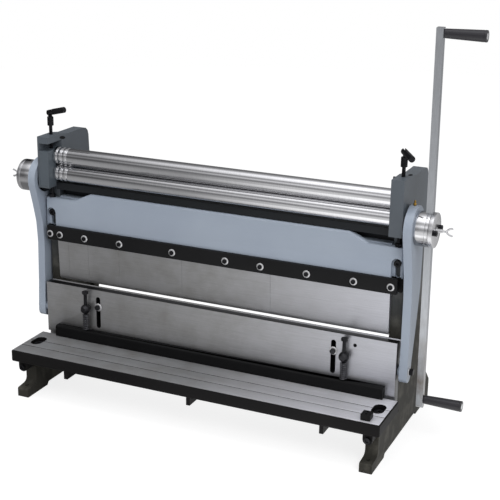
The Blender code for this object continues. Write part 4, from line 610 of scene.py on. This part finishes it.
def finish_hubs():
    """Eccentric hubs and caps: turned drums, cut for the crank bar, the right one with a fine ring near its
    seam. Places along a hub are counted from the machine's middle."""
    cam, drum, ring, slack = 34.0 * MM, 45.6 * MM, 0.7 * MM, 0.05 * MM
    journal_bore, stem_bore = 11.3 * MM, 5.3 * MM
    low, high, middle = box_of("crank_bar")
    half = (high[0] - low[0]) / 2 + 0.3 * MM
    out = middle[0] - MIDDLE_X
    cut = rectangle(half, drum + 4 * MM)
    journal = np.array([MIDDLE_X, *box_of("lower_roll")[2][1:]])
    for side, sign in SIDES.items():
        aim = AHEAD_X * sign
        near, seam = sorted(abs(corner[0] - MIDDLE_X) for corner in box_of(f"{side}_eccentric_hub")[:2])
        inner, outer = sorted(abs(corner[0] - MIDDLE_X) for corner in box_of(f"{side}_hub_cap")[:2])
        centre = np.array([MIDDLE_X, *box_of(f"{side}_hub_cap")[2][1:]])
        shoulder, line = near + 27.8 * MM, seam - 9 * MM
        mark = [(line - ring, drum), (line, drum - ring), (line + ring, drum)] if sign > 0 else []
        profile = [(near, 0), (near, cam), (shoulder, cam), (shoulder, drum), *mark, (seam, drum), (seam, 0)]
        hub = spun(f"{side}_hub_turned", profile, centre, aim, FINE_SIDES, 0.7 * MM)
        bored(hub, journal, aim, journal_bore, near - 4 * MM, near + 26 * MM)
        cut_out(hub, slab("socket", centre + aim * out, BAR_FLAT, BAR_UPRIGHT, aim, cut, -half,
                          half + 20 * MM))
        fitted(hub, TURNED_SHADED_BELOW, "crank", "bright_steel", f"{side}_eccentric_hub")

        def in_socket(face):
            """Whether a face is one of the socket's walls or its floor."""
            place = np.array(face.center) - centre
            square = abs(np.array(face.normal) @ aim) + abs(np.array(face.normal) @ BAR_FLAT)
            return abs(place @ BAR_FLAT) < half + slack and place @ aim > out - half - slack and square > 0.9

        second_finish(hub, OXIDE, in_socket)
        profile = [(inner, 0), (inner, drum), (outer, drum), (outer, 9 * MM), (outer - 1 * MM, 8 * MM),
                   (outer - 1 * MM, 0)]
        cap = spun(f"{side}_cap_turned", profile, centre, aim, FINE_SIDES, 0.9 * MM)
        cut_out(cap, slab("groove", centre + aim * out, BAR_FLAT, BAR_UPRIGHT, aim, cut, -half, half))
        bored(cap, centre, aim, stem_bore, inner - 3 * MM, outer + 3 * MM)
        fitted(cap, FACED, "crank", "bright_steel", f"{side}_hub_cap")
        for number, way in enumerate((-1, 1)):
            place = centre + aim * outer + (25 * AHEAD_Y + AHEAD_Z) * way * MM
            screw = socket_screw(f"{side}_cap_screw_{number + 1}", place, aim, 7.2 * MM, 9.0 * MM, 3.6 * MM)
            fitted(screw, OXIDE, "crank", "black_steel")


# Screws, bolts and springs


def socket_screw(name, place, aim, radius, height, key):
    """A socket head screw: a round head with eased rims and a hexagon recess most of the way down it."""
    depth = height * 0.6
    profile = [(-1.0 * MM, 0), (-1.0 * MM, radius * 0.7), (0, radius * 0.7), (0, radius), (height, radius),
               (height, key * 1.25), (height - 0.5 * MM, key, 1.0), (height - depth, key, 1.0),
               (height - depth, 0, 1.0)]
    return spun(name, profile, place, aim, ease=0.35 * MM)


def socket_bolt(name, place, aim, length, head, shank, key, rim, depth, ease):
    """A whole socket bolt: a head 8 mm high, with a hexagon recess of a depth and the radius key, which opens
    at its rim, and a plain shank down to the bolt's length."""
    profile = [(-depth, 0, 1.0), (-depth, key, 1.0), (-0.4 * MM, key, 1.0), (0, rim), (0, head),
               (-8.0 * MM, head), (-8.0 * MM, shank), (-length, shank), (-length, 0)]
    return spun(name, profile, place, aim, ease=ease)


def washer(name, place, aim, radius, bore, thick):
    """A washer: a ring about its bore, with its outer rim rounded over as far as it is thick."""
    profile = [(0, bore), (0, radius), (thick * 0.3, radius), (thick, radius - thick), (thick, bore),
               (0, bore)]
    return spun(name, profile, place, aim, ease=0.5 * MM)


def hex_head(foot, height, radius):
    """Profile of a hexagon head: flat sides, and a top turned down to a cone at its corners."""
    return [(foot, radius * 0.93), (foot + 0.4 * MM, radius, 1.0), (foot + height - 0.9 * MM, radius, 1.0),
            (foot + height, radius * 0.90), (foot + height, 0)]


def threaded(low, high, radius, pitch=1.5 * MM, depth=0.45 * MM):
    """Profile of a thread as rings: the radius runs between crest and root once a pitch."""
    points = 2 * max(2, int(round((high - low) / pitch))) + 1
    return list(zip(np.linspace(low, high, points), radius - depth * (np.arange(points) % 2)))


def finish_clamp_bar_screws():
    """Ten socket screws with bright washers on the finger clamp bar, at shares of its length and height."""
    low, high, _ = box_of("finger_clamp_bar")
    shares = (0.0100, 0.0407, 0.1187, 0.2274, 0.3860, 0.5399, 0.6387, 0.7650, 0.8889, 0.9841)
    for number, share in enumerate(shares, 1):
        place = np.array([low[0] + (high[0] - low[0]) * share, low[1], low[2] + (high[2] - low[2]) * 0.44])
        fitted(washer(f"clamp_bar_washer_{number}", place - AHEAD_Y * 0.1 * MM, -AHEAD_Y, 10.4 * MM, 4.0 * MM,
                      2.0 * MM), ZINC, "stand", "bright_steel")
        fitted(socket_screw(f"clamp_bar_screw_{number}", place - AHEAD_Y * 2.2 * MM, -AHEAD_Y, 6.4 * MM,
                            2.6 * MM, 3.6 * MM), OXIDE, "stand", "black_steel")


def finish_frame_bolts():
    """The frame's bolts on either side: the beam's and the bed's, the jack screws under the beam, the guide
    bolts of the ram with their washers, and the screws in the bed's bosses."""
    bed_front = box_of("bed")[0][1]
    for side in SIDES:
        low, high, middle = box_of(f"{side}_beam_bolt")
        bolt = socket_bolt(f"{side}_beam_socket_bolt", (middle[0], low[1], middle[2]), -AHEAD_Y,
                           high[1] - low[1], head=9.6 * MM, shank=6.0 * MM, key=4.0 * MM, rim=5.0 * MM,
                           depth=4.5 * MM, ease=0.4 * MM)
        fitted(bolt, OXIDE, "stand", "black_steel", f"{side}_beam_bolt")

        low, high, middle = box_of(f"{side}_bed_bolt")
        bolt = socket_bolt(f"{side}_bed_socket_bolt", (middle[0], middle[1], high[2]), AHEAD_Z,
                           high[2] - low[2], head=13.0 * MM, shank=8.0 * MM, key=5.0 * MM, rim=6.2 * MM,
                           depth=5.0 * MM, ease=0.5 * MM)
        fitted(bolt, OXIDE, "stand", "black_steel", f"{side}_bed_bolt")
        place = np.array([middle[0], bed_front + 8.1 * MM, 91.5 * MM])
        fitted(socket_screw(f"{side}_boss_screw", place, -AHEAD_Y, 8.5 * MM, 6.0 * MM, 4.4 * MM), OXIDE,
               "stand", "black_steel")

        low, high, middle = box_of(f"{side}_beam_jack_screw")
        height = high[2] - low[2]
        profile = [(0, 0), *hex_head(0, 9.0 * MM, 10.5 * MM)[:-1],
                   *threaded(9.4 * MM, height - 0.6 * MM, 6.0 * MM), (height, 5.2 * MM), (height, 0)]
        screw = spun(f"{side}_jack_screw_turned", profile, (middle[0], middle[1], low[2]), AHEAD_Z,
                     ease=0.25 * MM)
        fitted(screw, OXIDE, "stand", "black_steel", f"{side}_beam_jack_screw")

        low, high, middle = box_of(f"{side}_guide_bolt")
        length = high[1] - low[1]
        back = np.array([middle[0], high[1], middle[2]])
        profile = [(0, 0), (0, 5.8 * MM), (length - 6.2 * MM, 5.8 * MM),
                   *hex_head(length - 6.0 * MM, 6.0 * MM, 8.3 * MM)]
        fitted(spun(f"{side}_guide_bolt_turned", profile, back, -AHEAD_Y), WORN_OXIDE, "stand", "black_steel",
               f"{side}_guide_bolt")
        fitted(washer(f"{side}_guide_washer", back - AHEAD_Y * (length - 8.5 * MM), -AHEAD_Y, 12.0 * MM,
                      6.0 * MM, 2.3 * MM), ZINC, "stand", "bright_steel")


def finish_arm_bolts():
    """The arms' lower bolts: a low painted cap on the left, a hexagon head with a washer on the right."""
    low, high, middle = box_of("left_arm_bolt")
    length = high[0] - low[0]
    seat, shank, rim = length - 12.0 * MM, 7.0 * MM, 11.0 * MM
    profile = [(0, 0), (0, shank), (seat, shank), (seat, rim), (seat + 3.0 * MM, rim),
               (seat + 4.5 * MM, 8.0 * MM), (seat + 4.5 * MM, 0)]
    fitted(spun("left_arm_bolt_turned", profile, (high[0], middle[1], middle[2]), -AHEAD_X, ease=1.2 * MM),
           LIGHT_BLUE, "ram", "light_blue_paint", "left_arm_bolt")

    low, high, middle = box_of("right_arm_bolt")
    length = high[0] - low[0]
    root = np.array([low[0], middle[1], middle[2]])
    profile = [(0, 0), (0, shank), (length - 9.8 * MM, shank),
               *hex_head(length - 9.6 * MM, 9.6 * MM, 9.4 * MM)]
    fitted(spun("right_arm_bolt_turned", profile, root, AHEAD_X), OXIDE, "ram", "black_steel",
           "right_arm_bolt")
    place = root + AHEAD_X * (length - 12.0 * MM)
    fitted(washer("right_arm_washer", place, AHEAD_X, rim, 7.2 * MM, 2.2 * MM), ZINC, "ram", "bright_steel")


def finish_hold_down():
    """Hold-down bolts with hexagon heads, and the ball eyes with a flat front that they pass through."""
    plate_front = box_of("ram_plate")[0][1]
    for side in SIDES:
        low, high, middle = box_of(f"{side}_hold_down_bolt")
        bolt_y = middle[1]
        head, shank = high[2] - low[2] - 8.0 * MM, 5.0 * MM
        profile = [(0, 0), *threaded(0.6 * MM, 14.0 * MM, shank), (16 * MM, shank), (head - 1.0 * MM, shank),
                   (head - 0.2 * MM, 6.0 * MM), *hex_head(head, 8.0 * MM, 9.4 * MM)]
        bolt = spun(f"{side}_hold_down_bolt_turned", profile, (middle[0], middle[1], low[2]), AHEAD_Z,
                    ease=0.3 * MM)
        fitted(bolt, OXIDE, "hold_down", "black_steel", f"{side}_hold_down_bolt")

        low, high, middle = box_of(f"{side}_hold_down_eye")
        ball = (high[2] - low[2]) / 2
        front, stud = plate_front - low[1], high[1] - plate_front
        angle = np.radians(np.linspace(130, 55, 14))
        globe = zip(plate_front - bolt_y + ball * np.cos(angle), ball * np.sin(angle))
        profile = [(-stud, 0), (-stud, shank), (0.3 * MM, shank), (0.3 * MM, 10.5 * MM),
                   (3.0 * MM, 10.5 * MM), *globe, (front, 7.8 * MM), (front, 0)]
        eye = spun(f"{side}_eye_turned", profile, (middle[0], plate_front, middle[2]), -AHEAD_Y, FINE_SIDES)
        bored(eye, (middle[0], bolt_y, middle[2]), AHEAD_Z, 5.7 * MM, -20 * MM, 20 * MM)
        fitted(eye, WORN_OXIDE, "ram", "black_steel", f"{side}_hold_down_eye")


def finish_springs():
    """The hold-down's springs, wound of round wire with closed end turns."""
    wire, turns, closed, travel = 1.3 * MM, 9, 0.75, 6.0 * MM
    wound = np.linspace(0, 1, 36 * turns + 1) * turns
    angle = wound * 2 * np.pi
    share = np.clip((wound - closed) / (turns - 2 * closed), 0, 1)
    lift = wire + 2 * wire * np.clip(wound / closed, 0, 1)
    settle = 2 * wire * np.clip((wound - (turns - closed)) / closed, 0, 1)
    for side in SIDES:
        low, high, middle = box_of(f"{side}_hold_down_spring")
        coil = (high[0] - low[0]) / 2 - wire
        height = low[2] + lift + settle + share * (high[2] - 6 * wire - low[2])
        path = np.stack([middle[0] + coil * np.cos(angle), middle[1] + coil * np.sin(angle), height], 1)
        spring = swept(f"{side}_spring_wound", path, wire)
        fitted(spring, SPRING, "hold_down", "spring_steel", f"{side}_hold_down_spring")
        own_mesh(spring)


# Crank, wing screws and grease nipple


def finish_crank():
    """The square crank bar, rounded at its lower end and bored for the studs of its two tapered grips, which
    have bright end discs. The bar's length and depth follow from its box and its lean."""
    low, high, middle = box_of("crank_bar")
    wide, deep, tall = high - low
    sine, cosine = math.sin(BAR_TILT), math.cos(BAR_TILT)
    length = (tall * cosine - deep * sine) / math.cos(2 * BAR_TILT)
    depth = (deep * cosine - tall * sine) / math.cos(2 * BAR_TILT)
    turn = np.radians(np.linspace(180, 360, 25))
    outline = [*np.stack([depth / 2 * np.cos(turn), depth / 2 * (1 + np.sin(turn)) - length / 2], 1),
               (depth / 2, length / 2), (-depth / 2, length / 2)]
    bar = slab("crank_bar_drawn", middle, BAR_FLAT, BAR_UPRIGHT, AHEAD_X, outline, -wide / 2, wide / 2)
    stud, stud_radius = 18.0 * MM, 4.5 * MM
    for name, body in (("upper_grip", "upper_handgrip"), ("lower_grip", "lower_handgrip")):
        low, high, axis = box_of(name)
        bored(bar, (middle[0], axis[1], axis[2]), AHEAD_X, stud_radius + 0.3 * MM, -wide, wide)
        end = high[0] - low[0] - stud
        profile = [(-stud, 0), (-stud, stud_radius), (0, stud_radius), (0, 10.4 * MM), (3 * MM, 11.6 * MM),
                   (end * 0.45, 13.0 * MM), (end - 9 * MM, 14.4 * MM), (end - 7.5 * MM, 14.0 * MM),
                   (end - 6 * MM, 14.6 * MM), (end - 0.6 * MM, 14.3 * MM), (end - 0.6 * MM, 8.6 * MM),
                   (end - 1.6 * MM, 8.4 * MM), (end - 1.6 * MM, 0)]
        place = np.array([low[0] + stud, axis[1], axis[2]])
        fitted(spun(name + "_moulded", profile, place, AHEAD_X, FINE_SIDES, 0.7 * MM), GRIP, body,
               "grip_plastic", name)
        disc = [(end - 1.4 * MM, 0), (end - 1.4 * MM, 8.0 * MM), (end - 0.4 * MM, 7.6 * MM), (end, 4.0 * MM),
                (end, 0)]
        fitted(spun(name + "_end_disc", disc, place, AHEAD_X, ease=0.5 * MM), ZINC, body, "bright_steel")
    fitted(bevelled(bar, 0.9 * MM), BAR, "crank", "bright_steel", "crank_bar")


def finish_wing_screws():
    """The hubs' wing screws: a stem with a thread and a neck, and two leaves. A leaf's middle line runs from
    root to tip and bows out by 2.2 mm sin(pi t); the oval round it shrinks to a point at both ends."""
    along = np.linspace(0, 1, 17)[:, None]
    swell = np.sqrt(np.clip(1 - (2 * along - 1) ** 8, 0, 1))
    wide = (2.6 * MM + 0.4 * MM * along) * swell
    thin = (1.9 * MM - 0.2 * MM * along) * swell
    turn = np.linspace(0, 2 * np.pi, 32, endpoint=False)
    for side, sign in SIDES.items():
        low, high, middle = box_of(f"{side}_wing_screw")
        length = high[0] - low[0]
        start = np.array([(low if sign > 0 else high)[0], middle[1], middle[2]])
        aim = AHEAD_X * sign
        neck = length - 18 * MM
        profile = [(0, 0), (0, 4.2 * MM), *threaded(0.8 * MM, length * 0.45, 5.0 * MM),
                   (length * 0.47, 4.6 * MM), (length * 0.49, 2.6 * MM), (neck - 3 * MM, 2.6 * MM),
                   (neck, 4.2 * MM), (neck + 2.5 * MM, 3.4 * MM), (neck + 3.5 * MM, 0)]
        fitted(spun(f"{side}_wing_stem", profile, start, aim), ZINC, f"{side}_wing", "bright_steel",
               f"{side}_wing_screw")
        for word, way in (("lower", -AHEAD_Z), ("upper", AHEAD_Z)):
            tip = start + aim * (length - 1.2 * MM) + way * 10.0 * MM
            root = start + aim * (neck - 1 * MM) + way * 1.4 * MM
            line = root + (tip - root) * along + way * (2.2 * MM * np.sin(np.pi * along))
            broad = np.cross((tip - root) / np.linalg.norm(tip - root), AHEAD_Y)
            grid = (line[:, None] + (wide * np.cos(turn))[:, :, None] * broad
                    + (thin * np.sin(turn))[:, :, None] * AHEAD_Y)
            fitted(surface(f"{side}_{word}_wing_leaf", grid), ZINC, f"{side}_wing", "bright_steel")


def finish_grease_nipple():
    """The right arm's brass grease nipple: a hexagon foot, a waist and a round nose."""
    low, high, middle = box_of("grease_nipple")
    height = high[2] - low[2]
    profile = [(0, 0), (0, 3.6 * MM), (0.3 * MM, 4.3 * MM, 1.0), (height * 0.42, 4.3 * MM, 1.0),
               (height * 0.48, 2.6 * MM), (height * 0.58, 1.9 * MM), (height * 0.70, 2.9 * MM),
               (height * 0.86, 2.6 * MM), (height, 1.3 * MM), (height, 0)]
    fitted(spun("grease_nipple_turned", profile, (middle[0], middle[1], low[2]), AHEAD_Z, ease=0.3 * MM),
           BRASS, "right_lift_arm", "brass", "grease_nipple")


finish_cast_pieces()
finish_left_arm()
finish_bed()
finish_stop()
finish_heads()
finish_rolls()
finish_hubs()
finish_clamp_bar_screws()
finish_frame_bolts()
finish_arm_bolts()
finish_hold_down()
finish_springs()
finish_crank()
finish_wing_screws()
finish_grease_nipple()


# Camera, light and floor


# The photograph's camera: its place, its yaw, pitch and roll in radians, and its focal length in pixels
CAMERA_PLACE = (1.3046, -2.8390, 1.4729)
CAMERA_TURNS = (0.4159, 0.3147, 0.0164)
FOCAL_PIXELS = 1172.18
PICTURE_PIXELS = 500
SENSOR_WIDTH = 36.0

# How bright the room is in what steel reflects, at angles in degrees about the X axis
ROOM_BANDS = ((-180, 0.42), (-150, 0.30), (-120, 0.12), (-90, 0.08), (-40, 0.10), (0, 0.42), (20, 0.24),
              (45, 0.20), (70, 0.50), (95, 1.50), (118, 1.15), (131, 0.38), (142, 0.45), (153, 0.90),
              (165, 0.38), (176, 0.22), (180, 0.42))


def aim_camera():
    """Set up the photograph's camera."""
    yaw, pitch, roll = CAMERA_TURNS
    ahead = Vector((-math.sin(yaw) * math.cos(pitch), math.cos(yaw) * math.cos(pitch), -math.sin(pitch)))
    right = Vector((math.cos(yaw), math.sin(yaw), 0.0))
    up = right.cross(ahead)
    across = right * math.cos(roll) + up * math.sin(roll)
    upright = up * math.cos(roll) - right * math.sin(roll)
    lens = bpy.data.cameras.new("camera")
    lens.sensor_width = SENSOR_WIDTH
    lens.lens = SENSOR_WIDTH * FOCAL_PIXELS / PICTURE_PIXELS
    item = bpy.data.objects.new("camera", lens)
    bpy.context.scene.collection.objects.link(item)
    turn = Matrix((across, upright, -ahead)).transposed().to_4x4()
    item.matrix_world = Matrix.Translation(CAMERA_PLACE) @ turn
    bpy.context.scene.camera = item


def lamp(name, place, target, size, watts):
    """A square area lamp that looks at a point and isn't seen in the steel."""
    light = bpy.data.lights.new(name, "AREA")
    light.shape = "SQUARE"
    light.size = size
    light.energy = watts
    item = bpy.data.objects.new(name, light)
    bpy.context.scene.collection.objects.link(item)
    aim = Vector(target) - Vector(place)
    item.matrix_world = Matrix.Translation(place) @ aim.to_track_quat("-Z", "Y").to_matrix().to_4x4()
    item.visible_glossy = False


def studio():
    """White room: plain white to the camera, soft bands of light and dark in what the steel reflects."""
    bpy.context.scene.view_settings.view_transform = "Standard"
    world = bpy.data.worlds.new("studio")
    bpy.context.scene.world = world
    world.use_nodes = True
    tree = world.node_tree
    tree.nodes.clear()
    place = add(tree, "ShaderNodeTexCoord", out="Generated")
    across, deep, high = (axis_of(tree, place, number) for number in range(3))
    turn = ranged(tree, worked(tree, "ARCTAN2", high, deep), -math.pi, math.pi)
    ramp = add(tree, "ShaderNodeValToRGB", {"Fac": turn})
    stops = ramp.node.color_ramp.elements
    for angle, _ in ROOM_BANDS[1:-1]:
        stops.new((angle + 180) / 360)
    for stop, (_, light) in zip(stops, ROOM_BANDS):
        stop.color = (light, light, light * 1.02, 1.0)
    room = toned_by(tree, ramp, ranged(tree, across, -0.62, -0.18, 0.35, 1.30))
    paths = add(tree, "ShaderNodeLightPath").node.outputs
    lit = mixed(tree, paths["Is Glossy Ray"], (0.55, 0.55, 0.56, 1.0), room)
    seen = worked(tree, "MAXIMUM", paths["Is Camera Ray"], paths["Is Transmission Ray"])
    shown = mixed(tree, seen, lit, (1.0, 1.0, 1.0, 1.0))
    add(tree, "ShaderNodeOutputWorld", {"Surface": add(tree, "ShaderNodeBackground", {"Color": shown})})


def white_floor():
    """White seamless paper: white to the camera with the shadow kept. In the steel it's dimmer to the left,
    far behind the machine, past its right end and close to the camera."""
    turns = np.linspace(0, 2 * np.pi, 96, endpoint=False)
    rings = np.linspace(0.01, 6.0, 30)
    item = surface("white_floor", np.stack([np.outer(rings, np.cos(turns)), np.outer(rings, np.sin(turns)),
                                            np.zeros((len(rings), len(turns)))], -1))
    material = bpy.data.materials.new("white_seamless_paper")
    material.use_nodes = True
    tree = material.node_tree
    tree.nodes.clear()
    place = add(tree, "ShaderNodeTexCoord", out="Object")
    tone = ranged(tree, noise(tree, place, 4 * MM, 2.0), to_low=0.78, to_high=0.82)
    paper = add(tree, "ShaderNodeBsdfDiffuse", {"Color": tone})
    thin = add(tree, "ShaderNodeBsdfDiffuse", {"Color": (0.35, 0.35, 0.35, 1.0)})
    across, deep = axis_of(tree, place, 0), axis_of(tree, place, 1)
    side = ranged(tree, worked(tree, "MULTIPLY_ADD", deep, -0.45, across), -0.25, 0.70, 0.06, 1.30)
    for share in (ranged(tree, deep, 0.0, 0.8, 1.0, 0.55), ranged(tree, across, 0.36, 0.50, 1.0, 0.65),
                  ranged(tree, deep, -1.3, -0.85, 0.35, 1.0)):
        side = worked(tree, "MULTIPLY", side, share)
    paths = add(tree, "ShaderNodeLightPath").node.outputs
    strength = add(tree, "ShaderNodeMix", {0: paths["Is Glossy Ray"], 2: 0.80, 3: side}, data_type="FLOAT")
    glow = add(tree, "ShaderNodeEmission", {"Strength": strength})
    shown = add(tree, "ShaderNodeAddShader", {0: thin, 1: glow})
    seen = worked(tree, "MAXIMUM", paths["Is Camera Ray"], paths["Is Glossy Ray"])
    seen = worked(tree, "MAXIMUM", seen, paths["Is Transmission Ray"])
    paper_or_glow = add(tree, "ShaderNodeMixShader", {0: seen, 1: paper, 2: shown})
    add(tree, "ShaderNodeOutputMaterial", {"Surface": paper_or_glow})
    item.data.materials.append(material)


aim_camera()
studio()
white_floor()
lamp("key_lamp", (2.4, -2.6, 3.0), (0, 0, 0.5), 1.6, 60)
lamp("top_lamp", (-0.6, -0.6, 3.4), (0, 0, 0.5), 2.4, 40)
